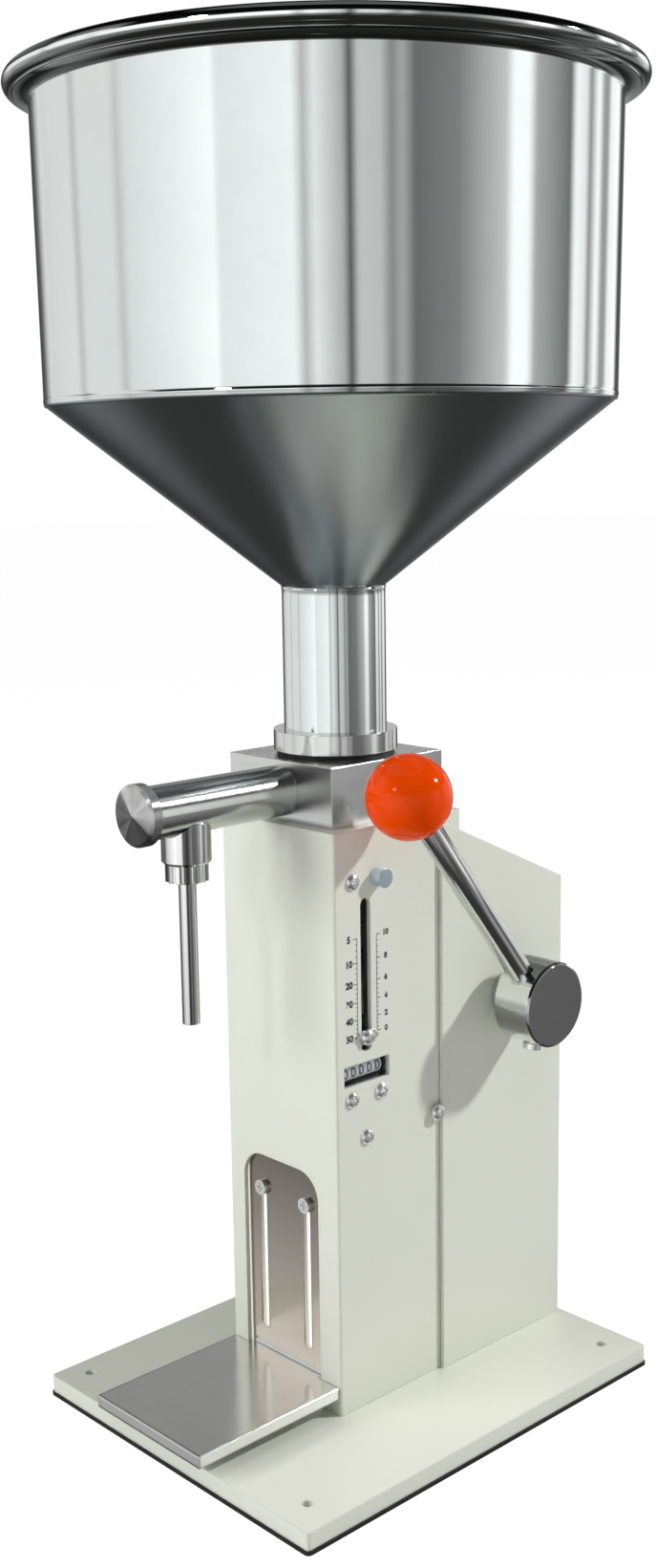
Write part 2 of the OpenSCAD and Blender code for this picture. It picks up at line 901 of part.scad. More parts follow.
module cover_edge_screws() {
    color(steel) {
        edge_screw();
        translate([2 * col_x, 0, 0])
            mirror([1, 0, 0])
                edge_screw();
    }
}

// Casing stay

module casing_stay() {
    color(dark_steel)
        difference() {
            union() {
                box([stay_x, stay_front, stay_z - stay_h / 2],
                    [stay_x + stay_t, stay_back, stay_z + stay_h / 2]);
                box([frame_right + seat_gap, stay_bolt_y - stay_h / 2, stay_z - stay_h / 2],
                    [stay_x + stay_t / 2, stay_back, stay_z + stay_h / 2]);
            }
            for (y = [scale_y, edge_screw_y])
                translate([0, y, stay_z]) rod_x(screw_r + run_gap, stay_x - cut,
                    stay_x + stay_t + cut);
            translate([0, stay_bolt_y, stay_z])
                rod_x(screw_r + seat_gap, frame_right - cut, stay_x + stay_t + cut);
        }
}

module stay_screws() {
    color(steel) {
        translate([0, scale_y, stay_z])
            side_screw(col_right + run_gap, col_sheet + stay_t, screw_head_r, screw_head_h);
        translate([0, stay_bolt_y, stay_z])
            side_screw(stay_x + stay_t + run_gap, stay_t + stay_packer + frame_t - cut,
                screw_head_r, cover_gap + col_sheet);
    }
}

// Bearing frame: a foot, two uprights with bush seats and a tie plate behind the arm
module bearing_frame() {
    color(dark_steel)
        difference() {
            union() {
                box([frame_left, frame_front, base_top],
                    [frame_right, frame_back, base_top + frame_t]);
                for (x = [frame_left, frame_in_right])
                    box([x, frame_front, base_top], [x + frame_t, frame_back, frame_top]);
                box([frame_left + frame_t / 2, tie_front, tie_low],
                    [frame_right - frame_t / 2, frame_back, tie_high]);
            }
            translate([0, shaft_y, shaft_z])
                rod_x(bush_r + run_gap, frame_left - cut, frame_right + cut);
            for (p = frame_screw_spots)
                translate([p.x, p.y, 0])
                    rod_z(frame_screw_r + seat_gap, base_top - cut, base_top + frame_t + cut);
            translate([0, stay_bolt_y, stay_z])
                rod_x(screw_r + run_gap, frame_in_right - cut, frame_right + cut);
        }
}

module frame_screws() {
    seat = base_top + frame_t + seat_gap;
    color(zinc)
        for (p = frame_screw_spots)
            translate([p.x, p.y, 0]) {
                rod_z(frame_screw_r, base_top - frame_screw_depth + cut, seat);
                translate([0, 0, seat])
                    cylinder(r = frame_screw_head_r, h = frame_screw_head_h, $fn = 6);
            }
}

// A flanged bush: the flange is on the arm's side
module flanged_bush(flange_x0, body_x0, body_x1) {
    difference() {
        union() {
            rod_x(bush_flange_r, flange_x0, flange_x0 + bush_flange_t);
            rod_x(bush_r, body_x0, body_x1);
        }
        rod_x(shaft_r + run_gap, frame_left - cut, frame_right + cut);
    }
}

module bush_left() {
    color(bronze)
        translate([0, shaft_y, shaft_z])
            flanged_bush(frame_in_left + seat_gap, frame_left, frame_in_left + bush_flange_t);
}

module bush_right() {
    color(bronze)
        translate([0, shaft_y, shaft_z])
            flanged_bush(frame_in_right - bush_flange_t - seat_gap,
                frame_in_right - bush_flange_t, frame_right);
}

// Lever

module lever_shaft() {
    color(steel)
        difference() {
            translate([0, shaft_y, shaft_z])
                rod_x(shaft_r, frame_left, hub_x0 + hub_len * hub_bore_share - shaft_end_gap);
            rocker_pin_hole();
        }
}

module rocker_pin_hole() {
    translate([rocker_pin_x, shaft_y, shaft_z])
        rod_z(rocker_pin_r + run_gap, -boss_r - cut, boss_r + cut);
}

module shaft_collar() {
    color(zinc)
        translate([0, shaft_y, shaft_z])
            difference() {
                rod_x(collar_r, boss_right + seat_gap, boss_right + seat_gap + collar_len);
                rod_x(shaft_r + run_gap, boss_right - cut, frame_in_right);
            }
}

module shaft_spacer() {
    color(steel)
        translate([0, shaft_y, shaft_z])
            difference() {
                rod_x(spacer_r, cover_right + free_gap, hub_x0 - seat_gap);
                rod_x(shaft_r + run_gap, cover_right - cut, hub_x0 + cut);
            }
}

// Outline of a cheek: a bar with a round end and a slot, in Y and Z from the shaft's axis
module cheek_outline() {
    difference() {
        union() {
            translate([-arm_slot_far, -arm_r]) square([arm_slot_far, 2 * arm_r]);
            translate([-arm_slot_far, 0]) circle(r = arm_r);
        }
        translate([-arm_slot_far, -pin_r - slot_play])
            square([arm_slot_far - arm_slot_near, 2 * (pin_r + slot_play)]);
        for (y = [-arm_slot_far, -arm_slot_near])
            translate([y, 0]) circle(r = pin_r + slot_play);
    }
}

// Fork with two cheeks on a boss, turned up to the piston's top position
module rocker_arm() {
    color(dark_steel)
        difference() {
            translate([0, shaft_y, shaft_z])
                rotate([-arm_angle, 0, 0])
                    difference() {
                        union() {
                            rod_x(boss_r, boss_left, boss_right);
                            for (x = [boss_left, boss_right - cheek_t])
                                translate([x, 0, 0])
                                    rotate([90, 0, 90])
                                        linear_extrude(cheek_t)
                                            cheek_outline();
                        }
                        rod_x(shaft_r + run_gap, boss_left - cut, boss_right + cut);
                    }
            rocker_pin_hole();
        }
}

module rocker_pin() {
    color(steel)
        translate([rocker_pin_x, shaft_y, shaft_z])
            rod_z(rocker_pin_r, -boss_r, boss_r);
}

module lever_hub() {
    r = hub_d / 2;
    c = hub_chamfer;
    profile = [
        [0, 0], [r - c, 0], [r, c], [r, hub_len - c], [r - c, hub_len], [0, hub_len]
    ];
    color(steel)
        translate([0, shaft_y, shaft_z])
            difference() {
                translate([hub_x0, 0, 0])
                    rotate([0, 90, 0])
                        rotate_extrude()
                            polygon(profile);
                rod_x(shaft_r + run_gap, hub_x0 - cut, hub_x0 + hub_len * hub_bore_share);
                translate([hub_mid, 0, 0])
                    rotate([lever_lean, 0, 0])
                        rod_z(lever_d / 2 + run_gap, lever_seat - run_gap, hub_d);
                translate([hub_mid, 0, 0])
                    rotate([180 - hub_screw_tilt, 0, 0])
                        rod_z(hub_screw_r + run_gap, 0, hub_d);
            }
}

module hub_screw() {
    color(steel)
        translate([hub_mid, shaft_y, shaft_z])
            rotate([180 - hub_screw_tilt, 0, 0])
                difference() {
                    union() {
                        rod_z(hub_screw_r, shaft_r + run_gap, hub_d / 2 + run_gap);
                        rod_z(hub_screw_head_r, hub_d / 2 + run_gap,
                            hub_d / 2 + hub_screw_head_h);
                    }
                    translate([0, 0, hub_d / 2 + hub_screw_head_h / 2])
                        cylinder(r = hub_screw_r * hub_bore_share, h = hub_screw_head_h,
                            $fn = 6);
                }
}

module lever_rod() {
    seat = lever_len - knob_r + knob_flat;
    color(steel)
        translate([hub_mid, shaft_y, shaft_z])
            rotate([lever_lean, 0, 0]) {
                rod_z(lever_d / 2, lever_seat, seat - seat_gap);
                rod_z(knob_pin_r, seat - cut, seat + knob_r * knob_pin_share - seat_gap);
            }
}

module ball_knob() {
    seat = lever_len - knob_r + knob_flat;
    color(knob_orange)
        translate([hub_mid, shaft_y, shaft_z])
            rotate([lever_lean, 0, 0])
                difference() {
                    translate([0, 0, lever_len]) sphere(r = knob_r);
                    rod_z(knob_r, seat - knob_r, seat);
                    rod_z(knob_pin_r + run_gap, seat - cut, seat + knob_r * knob_pin_share);
                }
}

// Valve block and pump

module valve_block() {
    color(steel)
        difference() {
            union() {
                box([pump_x - block_w / 2, block_front, col_top + seat_gap],
                    [pump_x + block_w / 2, block_front + block_l, block_top]);
                translate([pump_x, pump_y, 0])
                    rod_z(spigot_r, block_mid_z, block_top + spigot_h);
            }
            translate([pump_x, pump_y, 0]) {
                rod_z(cyl_r + run_gap, col_top - cut, cyl_top + seat_gap);
                rod_z(spider_r + run_gap, col_top, cyl_top + spider_t + 2 * seat_gap);
                rod_z(chamber_r, col_top, chamber_top);
                rod_z(seat_r, block_mid_z, block_top);
                translate([0, 0, chamber_top + seat_t])
                    cylinder(r1 = seat_r, r2 = spigot_bore_r,
                        h = cone_top - chamber_top - seat_t);
                rod_z(spigot_bore_r, cone_top, block_top + spigot_h + cut);
                corners(block_screw_pcr * sqrt(2), block_screw_pcr * sqrt(2))
                    rod_z(block_screw_r + run_gap, col_top - cut,
                        col_top + block_screw_in + cut);
            }
            translate([pump_x, 0, block_mid_z]) {
                rod_y(passage_r, block_front - cut, pump_y);
                rod_y(thread_r + run_gap, block_front - cut, block_front + thread_len + seat_gap);
            }
        }
}

module block_screws() {
    seat = cyl_flange_z - seat_gap;
    color(zinc)
        translate([pump_x, pump_y, 0])
            corners(block_screw_pcr * sqrt(2), block_screw_pcr * sqrt(2))
                difference() {
                    union() {
                        rod_z(block_screw_r, seat - cut, col_top + block_screw_in);
                        rod_z(block_screw_head_r, seat - block_screw_head_h, seat);
                    }
                    translate([0, 0, seat - block_screw_head_h - cut])
                        cylinder(r = block_screw_r, h = cut + block_screw_head_h / 2, $fn = 6);
                }
}

module pump_cylinder() {
    color(steel)
        translate([pump_x, pump_y, 0])
            difference() {
                union() {
                    rod_z(cyl_r, cyl_bottom, cyl_top);
                    rod_z(cyl_flange_r, cyl_flange_z, cyl_flange_z + cyl_flange_t);
                }
                rod_z(bore_d / 2, cyl_bottom - cut, cyl_top + cut);
                corners(block_screw_pcr * sqrt(2), block_screw_pcr * sqrt(2))
                    rod_z(block_screw_r + seat_gap, cyl_flange_z - cut,
                        cyl_flange_z + cyl_flange_t + cut);
            }
}

module cylinder_cap() {
    color(steel)
        translate([pump_x, pump_y, 0])
            difference() {
                rod_z(cyl_r + cap_wall, cap_bottom, cyl_bottom + cap_grip);
                rod_z(cyl_r + run_gap, cyl_bottom - seat_gap, cyl_bottom + cap_grip + cut);
                rod_z(rod_d / 2 + rod_bush_wall + run_gap, cap_bottom - cut, cyl_bottom);
            }
}

module rod_bush() {
    color(bronze)
        translate([pump_x, pump_y, 0])
            tube_z(rod_d / 2 + rod_bush_wall, rod_d / 2 + run_gap, cap_bottom,
                cyl_bottom - seat_gap);
}

ring_h = 3.2;
ring_depth = 2.5;
ring_low_share = 0.2;
ring_high_share = 0.6;
piston_z = crown_z - piston_len;
ring_levels = [
    piston_z + piston_len * ring_low_share,
    piston_z + piston_len * ring_high_share
];

module piston() {
    r = bore_d / 2 - run_gap;
    color(steel)
        translate([pump_x, pump_y, 0])
            difference() {
                rod_z(r, piston_z, crown_z);
                for (z = ring_levels)
                    tube_z(r + cut, r - ring_depth, z, z + ring_h);
                rod_z(rod_d / 4 + run_gap, piston_z - cut, piston_z + piston_len / 2);
            }
}

module piston_rings() {
    r = bore_d / 2 - run_gap;
    color(white)
        translate([pump_x, pump_y, 0])
            for (z = ring_levels)
                tube_z(r, r - ring_depth + run_gap, z + seat_gap, z + ring_h - seat_gap);
}

module piston_rod() {
    color(steel)
        translate([pump_x, pump_y, 0])
            difference() {
                union() {
                    rod_z(rod_d / 2, pin_z - rod_tail, piston_z - seat_gap);
                    rod_z(rod_d / 4, piston_z - cut, piston_z + piston_len / 2 - seat_gap);
                }
                translate([0, 0, pin_z]) rod_x(pin_r + run_gap, -rod_d, rod_d);
            }
}

module cross_pin() {
    half = fork_half + 2 * free_gap + clip_t + pin_end;
    color(steel)
        translate([pump_x, pump_y, pin_z])
            difference() {
                rod_x(pin_r, -half, half);
                for (x = [-half + pin_end - clip_t - seat_gap, half - pin_end - seat_gap])
                    difference() {
                        rod_x(pin_r + cut, x, x + clip_t + 2 * seat_gap);
                        rod_x(pin_r - clip_groove, x - cut, x + clip_t + cut);
                    }
            }
}

module pin_sleeves() {
    color(bronze)
        translate([pump_x, pump_y, pin_z])
            for (sx = [0, 1])
                mirror([sx, 0, 0])
                    difference() {
                        rod_x(sleeve_r, rod_d / 2 + seat_gap, fork_gap - free_gap);
                        rod_x(pin_r + run_gap, 0, fork_half);
                    }
}

module pin_clips() {
    half = fork_half + 2 * free_gap + clip_t + pin_end;
    color(dark_steel)
        translate([pump_x, pump_y, pin_z])
            for (x = [-half + pin_end - clip_t, half - pin_end])
                difference() {
                    rod_x(clip_r, x, x + clip_t);
                    rod_x(pin_r - clip_groove + run_gap, x - cut, x + clip_t + cut);
                }
}

// Inlet valve under the hopper's neck

module inlet_valve() {
    color(steel)
        translate([pump_x, pump_y, 0]) {
            rod_z(valve_disc_r, inlet_disc_z, inlet_disc_z + valve_disc_t);
            rod_z(valve_stem_r, inlet_stem_z, inlet_disc_z + valve_disc_t / 2);
        }
}

module valve_spider() {
    top = spider_z + spider_t;
    color(steel)
        translate([pump_x, pump_y, 0])
            difference() {
                union() {
                    tube_z(spider_r, spider_r - spider_ring, spider_z, top);
                    rod_z(spider_hub_r, spider_z, spider_sleeve_top);
                    for (a = [90, 210, 330])
                        rotate([0, 0, a])
                            box([0, -spider_arm / 2, spider_z],
                                [spider_r - spider_ring / 2, spider_arm / 2, top]);
                }
                rod_z(valve_stem_r + run_gap, spider_z + spider_floor, spider_sleeve_top + cut);
            }
}

module inlet_spring() {
    color(dark_steel)
        translate([pump_x, pump_y, 0])
            coil_spring(inlet_coil_r, inlet_wire_r, spider_z + spider_t + seat_gap,
                inlet_disc_z - seat_gap, inlet_turns);
}

// Hopper

// Radius and height along the flared brim, from the wall to the foot of the step
function flare_point(r, z, out, up, share) =
    [r + out * (1 - cos(90 * share)), z + up * sin(90 * share)];

module hopper() {
    t = hopper_wall;
    bead_z = brim_z + brim_rise + brim_step + bead_r;
    step_r = wall_top_r + brim_flare;
    outer = concat(
        [[neck_r, neck_z + run_gap], [neck_r, cone_z], [wall_low_r, wall_z]],
        [for (i = [0 : flare_steps])
            flare_point(wall_top_r, brim_z, brim_flare, brim_rise, i / flare_steps)],
        [[step_r, bead_z]]
    );
    inner = concat(
        [[step_r - t, bead_z]],
        [for (i = [flare_steps : -1 : 0])
            flare_point(wall_top_r - t, brim_z + t, brim_flare, brim_rise, i / flare_steps)],
        [[wall_low_r - t, wall_z], [neck_r - neck_wall, cone_z],
         [neck_r - neck_wall, neck_z + run_gap]]
    );
    color(steel)
        translate([pump_x, pump_y, 0])
            rotate_extrude($fn = 180) {
                polygon(concat(outer, inner));
                translate([step_r, bead_z]) circle(r = bead_r, $fn = 32);
            }
}

module neck_collar() {
    color(steel)
        translate([pump_x, pump_y, 0])
            tube_z(collar_d / 2, neck_r + run_gap, neck_z + run_gap, neck_z + collar_h);
}

module hopper_gasket() {
    color(rubber_black)
        translate([pump_x, pump_y, 0])
            tube_z(neck_r + gasket_over, spigot_r + seat_gap, gasket_z + run_gap, neck_z);
}

// Outlet

module discharge_tube() {
    color(steel)
        translate([pump_x, 0, block_mid_z])
            difference() {
                union() {
                    rod_y(tube_r, tube_front, block_front - seat_gap);
                    rod_y(thread_r, tube_front, block_front + thread_len);
                }
                rod_y(passage_r, tube_front, block_front + thread_len + cut);
                rod_y(tube_bore_r, tube_front - cut, valve_seat_y);
                translate([0, nozzle_y, 0]) rod_z(port_r, -tube_d, 0);
            }
}

module tube_cap() {
    face = tube_front - cap_len;
    color(steel)
        translate([pump_x, 0, block_mid_z]) {
            rod_y(cap_d / 2, face + cap_chamfer, tube_front - seat_gap);
            translate([0, face + cap_chamfer, 0])
                rotate([90, 0, 0])
                    cylinder(r1 = cap_d / 2, r2 = cap_d / 2 - cap_chamfer,
                        h = cap_chamfer - cap_cone_h);
            translate([0, face + cap_cone_h, 0])
                rotate([90, 0, 0])
                    cylinder(r1 = cap_d / 2 - cap_chamfer, r2 = cap_chamfer, h = cap_cone_h);
            rod_y(tube_bore_r - run_gap, face + cap_len / 2, tube_front + cap_plug_len);
        }
}

module discharge_valve() {
    y1 = valve_seat_y - seat_gap;
    color(steel)
        translate([pump_x, 0, block_mid_z]) {
            rod_y(flap_r, y1 - flap_t, y1);
            rod_y(fin_hub_r, y1 - flap_t - fin_len - valve_tail, y1);
            intersection() {
                rod_y(tube_bore_r - run_gap, y1 - flap_t - fin_len, y1 - flap_t / 2);
                union() {
                    for (a = [30, 150, 270])
                        rotate([0, a, 0])
                            box([0, y1 - flap_t - fin_len, -fin_t / 2],
                                [tube_d, y1 - flap_t / 2, fin_t / 2]);
                }
            }
        }
}

module discharge_spring() {
    y1 = valve_seat_y - seat_gap - flap_t - fin_len - seat_gap;
    y0 = tube_front + cap_plug_len + seat_gap;
    color(dark_steel)
        translate([pump_x, y1, block_mid_z])
            rotate([90, 0, 0])
                coil_spring(discharge_coil_r, discharge_wire_r, 0, y1 - y0, discharge_turns);
}

module nozzle_socket() {
    color(steel)
        translate([pump_x, nozzle_y, 0])
            difference() {
                union() {
                    translate([0, 0, socket_low])
                        cylinder(r1 = socket_r - socket_chamfer, r2 = socket_r,
                            h = socket_chamfer);
                    rod_z(socket_r, socket_low + socket_chamfer, block_mid_z - tube_r / 2);
                }
                translate([0, 0, block_mid_z])
                    rod_y(tube_r + run_gap, -socket_d, socket_d);
                rod_z(socket_bore_r, socket_low - cut, socket_low + socket_bore_h);
                rod_z(port_r, socket_low, block_mid_z);
            }
}

module nozzle_nut() {
    color(steel)
        translate([pump_x, nozzle_y, 0])
            difference() {
                union() {
                    rod_z(nut_r, nut_low, socket_low - seat_gap);
                    rod_z(socket_bore_r - run_gap, nut_low + nut_h / 2,
                        socket_low + nut_spigot_h);
                }
                rod_z(pipe_r - pipe_step + run_gap, nut_low - cut,
                    socket_low + nut_spigot_h + cut);
                for (i = [0 : knurl_count - 1])
                    rotate([0, 0, 360 * i / knurl_count])
                        translate([nut_r, 0, 0])
                            rod_z(knurl_r, nut_low - cut, socket_low + cut);
            }
}

module nozzle_pipe() {
    flange_z = socket_low + nut_spigot_h + seat_gap;
    color(steel)
        translate([pump_x, nozzle_y, 0])
            difference() {
                union() {
                    rod_z(pipe_r, pipe_low, nut_low - pipe_step_below);
                    rod_z(pipe_r - pipe_step, pipe_low, flange_z + pipe_flange_t);
                    rod_z(socket_bore_r - run_gap, flange_z, flange_z + pipe_flange_t);
                }
                rod_z(pipe_r - pipe_wall, pipe_low - cut, flange_z + pipe_flange_t + cut);
            }
}

// Platform

module leg_slots(y0, y1) {
    for (sx = [-1, 1])
        translate([arch_x + sx * leg_slot_dx / 2, 0, 0]) {
            box([-leg_slot_w / 2, y0, leg_slot_low], [leg_slot_w / 2, y1, leg_screw_z]);
            for (z = [leg_slot_low, leg_screw_z])
                translate([0, 0, z]) rod_y(leg_slot_w / 2, y0, y1);
        }
}

module platform_tray() {
    x0 = tray_x - tray_w / 2;
    x1 = tray_x + tray_w / 2;
    color(steel)
        difference() {
            union() {
                difference() {
                    box([x0, tray_front, tray_top - tray_lip], [x1, tray_rear, tray_top]);
                    box([x0 + tray_sheet, tray_front + tray_sheet, tray_top - tray_lip - cut],
                        [x1 - tray_sheet, tray_rear + cut, tray_low]);
                }
                box([arch_x - leg_w / 2, tray_rear - cut, tray_low],
                    [arch_x + leg_w / 2, leg_y + tray_sheet, tray_top]);
                box([arch_x - leg_w / 2, leg_y, tray_low],
                    [arch_x + leg_w / 2, leg_y + tray_sheet, leg_top]);
            }
            leg_slots(leg_y - cut, leg_y + tray_sheet + cut);
        }
}

module leg_backing() {
    x0 = col_in_left + seat_gap;
    x1 = col_in_right - seat_gap;
    color(cream)
        difference() {
            union() {
                box([x0, backing_y, backing_low], [x1, backing_y + backing_t, leg_top]);
                for (x = [x0, x1 - backing_t])
                    box([x, backing_y, backing_low],
                        [x + backing_t, backing_y + backing_flange, leg_top]);
            }
            for (sx = [-1, 1])
                translate([arch_x + sx * leg_slot_dx / 2, 0, leg_screw_z])
                    rod_y(leg_screw_r + run_gap, backing_y - cut, backing_y + backing_t + cut);
        }
}

module platform_screws() {
    y1 = leg_y - seat_gap;
    color(steel)
        for (sx = [-1, 1])
            translate([arch_x + sx * leg_slot_dx / 2, 0, leg_screw_z])
                difference() {
                    union() {
                        rod_y(leg_screw_head_r, y1 - leg_screw_head_h, y1);
                        rod_y(leg_screw_r, y1 - cut, backing_y + backing_t + cut);
                    }
                    box([-phillips_w / 2, y1 - leg_screw_head_h - cut, -phillips_len / 2],
                        [phillips_w / 2, y1 - leg_screw_head_h / 2, phillips_len / 2]);
                    box([-phillips_len / 2, y1 - leg_screw_head_h - cut, -phillips_w / 2],
                        [phillips_len / 2, y1 - leg_screw_head_h / 2, phillips_w / 2]);
                }
}

// Stroke scale

module guide_rail() {
    color(dark_steel)
        difference() {
            box([rail_x, scale_y - rail_front, slot_low - rail_t],
                [rail_x + rail_t, scale_y + rail_back, rail_top]);
            translate([0, scale_y, 0])
                slot_x(slot_r, slot_low + slot_r, slot_high - slot_r, rail_x - cut,
                    rail_x + rail_t + cut);
            for (dy = [-rail_screw_dy, rail_screw_dy])
                translate([0, scale_y + dy, rail_screw_z])
                    rod_x(screw_r + run_gap, rail_x - cut, rail_x + rail_t + cut);
        }
}

module rail_screw() {
    color(steel)
        translate([0, scale_y - rail_screw_dy, rail_screw_z])
            side_screw(col_right + run_gap, col_sheet + rail_t, screw_head_r, screw_head_h);
}

// Thumb screw with a plain cylindrical head
module lock_screw() {
    color(zinc)
        translate([0, scale_y + rail_screw_dy, rail_screw_z]) {
            rod_x(lock_head_r, col_right + run_gap, col_right + lock_head_h);
            rod_x(screw_r, col_right - col_sheet - rail_t, col_right + cut);
        }
}

module stop_block() {
    color(dark_steel)
        translate([0, scale_y, pointer_z])
            difference() {
                union() {
                    box([stop_x, -stop_half_y, -stop_half_z],
                        [stop_x + stop_t, stop_half_y, stop_half_z]);
                    rod_x(key_r, stop_x + stop_t - cut, col_in_right + col_sheet / 2);
                }
                rod_x(screw_r + run_gap, stop_x + cut, col_right);
            }
}

module scale_pointer() {
    outline = [
        [-pointer_half, 0], [-pointer_head_r, pointer_h / 2], [pointer_head_r, pointer_h / 2],
        [pointer_half, 0], [pointer_head_r, -pointer_h / 2], [-pointer_head_r, -pointer_h / 2]
    ];
    color(steel)
        translate([0, scale_y, pointer_z])
            difference() {
                side_plate(outline, pointer_x, pointer_x + pointer_t);
                rod_x(screw_r + seat_gap, pointer_x - cut, pointer_x + pointer_t + cut);
            }
}

module pointer_screw() {
    color(steel)
        translate([0, scale_y, pointer_z])
            side_screw(pointer_x + pointer_t + run_gap, col_sheet + rail_t + stop_t / 2,
                pointer_head_r, pointer_head_h);
}

// Counter behind the window

module counter_case() {
    flange_low = window_z - case_half_z - case_flange_h;
    color(plastic_black)
        translate([0, scale_y, 0])
            difference() {
                union() {
                    box([case_x0, -case_half_y, window_z - case_half_z],
                        [case_x1, case_half_y, window_z + case_half_z]);
                    box([case_x1 - case_flange_t, -case_half_y, flange_low],
                        [case_x1, case_half_y, window_z]);
                }
                box([case_x0 + case_wall, -case_half_y + case_wall,
                     window_z - case_half_z + case_wall / 2],
                    [case_x1 - lens_t - lens_back, case_half_y - case_wall,
                     window_z + case_half_z - case_wall / 2]);
                box([case_x0 + case_depth / 2, -window_w / 2, window_z - window_h / 2],
                    [case_x1 + cut, window_w / 2, window_z + window_h / 2]);
                translate([wheel_x, 0, window_z])
                    rod_y(axle_r + run_gap, -case_half_y - cut, case_half_y + cut);
                for (dy = [-counter_screw_dy, counter_screw_dy])
                    translate([0, dy, counter_screw_z])
                        rod_x(screw_r + run_gap, case_x1 - case_flange_t - cut, case_x1 + cut);
            }
}

module counter_wheels() {
    pitch = wheel_w + wheel_gap;
    first = -pitch * wheel_count / 2 + wheel_gap / 2;
    color(white)
        translate([wheel_x, scale_y, window_z])
            for (i = [0 : wheel_count - 1])
                difference() {
                    rod_y(wheel_r, first + i * pitch, first + i * pitch + wheel_w);
                    rod_y(axle_r + run_gap, first - cut, -first + cut);
                }
}

module counter_axle() {
    color(steel)
        translate([wheel_x, scale_y, window_z])
            rod_y(axle_r, -case_half_y, case_half_y);
}

module counter_lens() {
    x1 = case_x1 - lens_back / 2;
    color(lens_clear)
        box([x1 - lens_t, scale_y - window_w / 2 + seat_gap, window_z - window_h / 2 + seat_gap],
            [x1, scale_y + window_w / 2 - seat_gap, window_z + window_h / 2 - seat_gap]);
}

module counter_screws() {
    color(steel)
        for (dy = [-counter_screw_dy, counter_screw_dy])
            translate([0, scale_y + dy, counter_screw_z])
                side_screw(col_right + run_gap, col_sheet + case_flange_t, screw_head_r,
                    screw_head_h);
}

base_plate();
base_mat();
base_screws();
column_casing();
rear_cover();
cover_edge_screws();
casing_stay();
stay_screws();
bearing_frame();
frame_screws();
bush_left();
bush_right();
lever_shaft();
shaft_collar();
shaft_spacer();
rocker_arm();
rocker_pin();
lever_hub();
hub_screw();
lever_rod();
ball_knob();
valve_block();
block_screws();
pump_cylinder();
cylinder_cap();
rod_bush();
piston();
piston_rings();
piston_rod();
cross_pin();
pin_sleeves();
pin_clips();
inlet_valve();
inlet_spring();
valve_spider();
hopper();
neck_collar();
hopper_gasket();
discharge_tube();
tube_cap();
discharge_valve();
discharge_spring();
nozzle_socket();
nozzle_nut();
nozzle_pipe();
platform_tray();
leg_backing();
platform_screws();
guide_rail();
rail_screw();
lock_screw();
stop_block();
pointer_screw();
scale_pointer();
counter_case();
counter_wheels();
counter_axle();
counter_lens();
counter_screws();
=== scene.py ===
"""Looks of the paste filling machine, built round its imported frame. Lengths are metres."""

import math

import bpy
import numpy as np
from mathutils import Matrix, Vector


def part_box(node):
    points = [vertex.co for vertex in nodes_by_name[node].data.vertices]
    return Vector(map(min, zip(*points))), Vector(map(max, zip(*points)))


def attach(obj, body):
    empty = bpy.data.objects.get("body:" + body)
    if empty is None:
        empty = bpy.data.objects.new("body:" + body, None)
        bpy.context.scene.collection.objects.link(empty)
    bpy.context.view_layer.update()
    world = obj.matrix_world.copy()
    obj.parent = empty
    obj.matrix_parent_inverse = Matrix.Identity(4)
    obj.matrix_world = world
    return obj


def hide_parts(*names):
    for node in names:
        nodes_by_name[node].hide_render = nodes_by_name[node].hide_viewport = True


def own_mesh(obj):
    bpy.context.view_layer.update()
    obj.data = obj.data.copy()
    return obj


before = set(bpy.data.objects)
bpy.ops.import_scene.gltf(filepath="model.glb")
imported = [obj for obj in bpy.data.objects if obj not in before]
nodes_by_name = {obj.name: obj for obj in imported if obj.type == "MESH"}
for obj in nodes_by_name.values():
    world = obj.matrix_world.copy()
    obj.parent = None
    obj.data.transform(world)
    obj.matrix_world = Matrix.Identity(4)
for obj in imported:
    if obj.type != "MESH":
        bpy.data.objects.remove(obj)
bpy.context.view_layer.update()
scene = bpy.context.scene


def mm(*values):
    """Millimetres as metres."""
    return tuple(v * 0.001 for v in values)


# ---------------------------------------------------------------- places on the frame
PUMP_X, PUMP_Y = -0.0067, 0.0004    # upright axis of the pump, the neck and the hopper
TUBE_Z = 0.34385                    # height of the discharge tube's level axis
NOZZLE_Y = -0.103                   # upright axis of the nozzle, in the plane x = PUMP_X
LEVER_X = 0.0659                    # plane that the lever swings in
SHAFT_Y, SHAFT_Z = 0.0822, 0.2185   # level axis of the lever's shaft
LEAN = math.radians(38.2)           # the lever's lean from upright, towards -Y
TRAY_TOP = 0.028                    # the tray's upper side at rest
COLUMN_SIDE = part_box("column_casing")[1].x
PRINT = 0.00004                     # how far printed marks stand off their surface

QUARTER = math.pi / 2
UPRIGHT, LAID_ALONG_Y, LAID_ALONG_X = (0, 0, 0), (QUARTER, 0, 0), (0, QUARTER, 0)
X, Y, Z = 0, 1, 2                   # coordinates by number


# ---------------------------------------------------------------- camera
CAMERA_PLACE = (0.68158, -0.64682, 0.51288)
CAMERA_ANGLES = (47.03, 10.27, 0.87)    # azimuth, pitch and roll in degrees
LENS_MM, SENSOR_MM = 41.15, 36


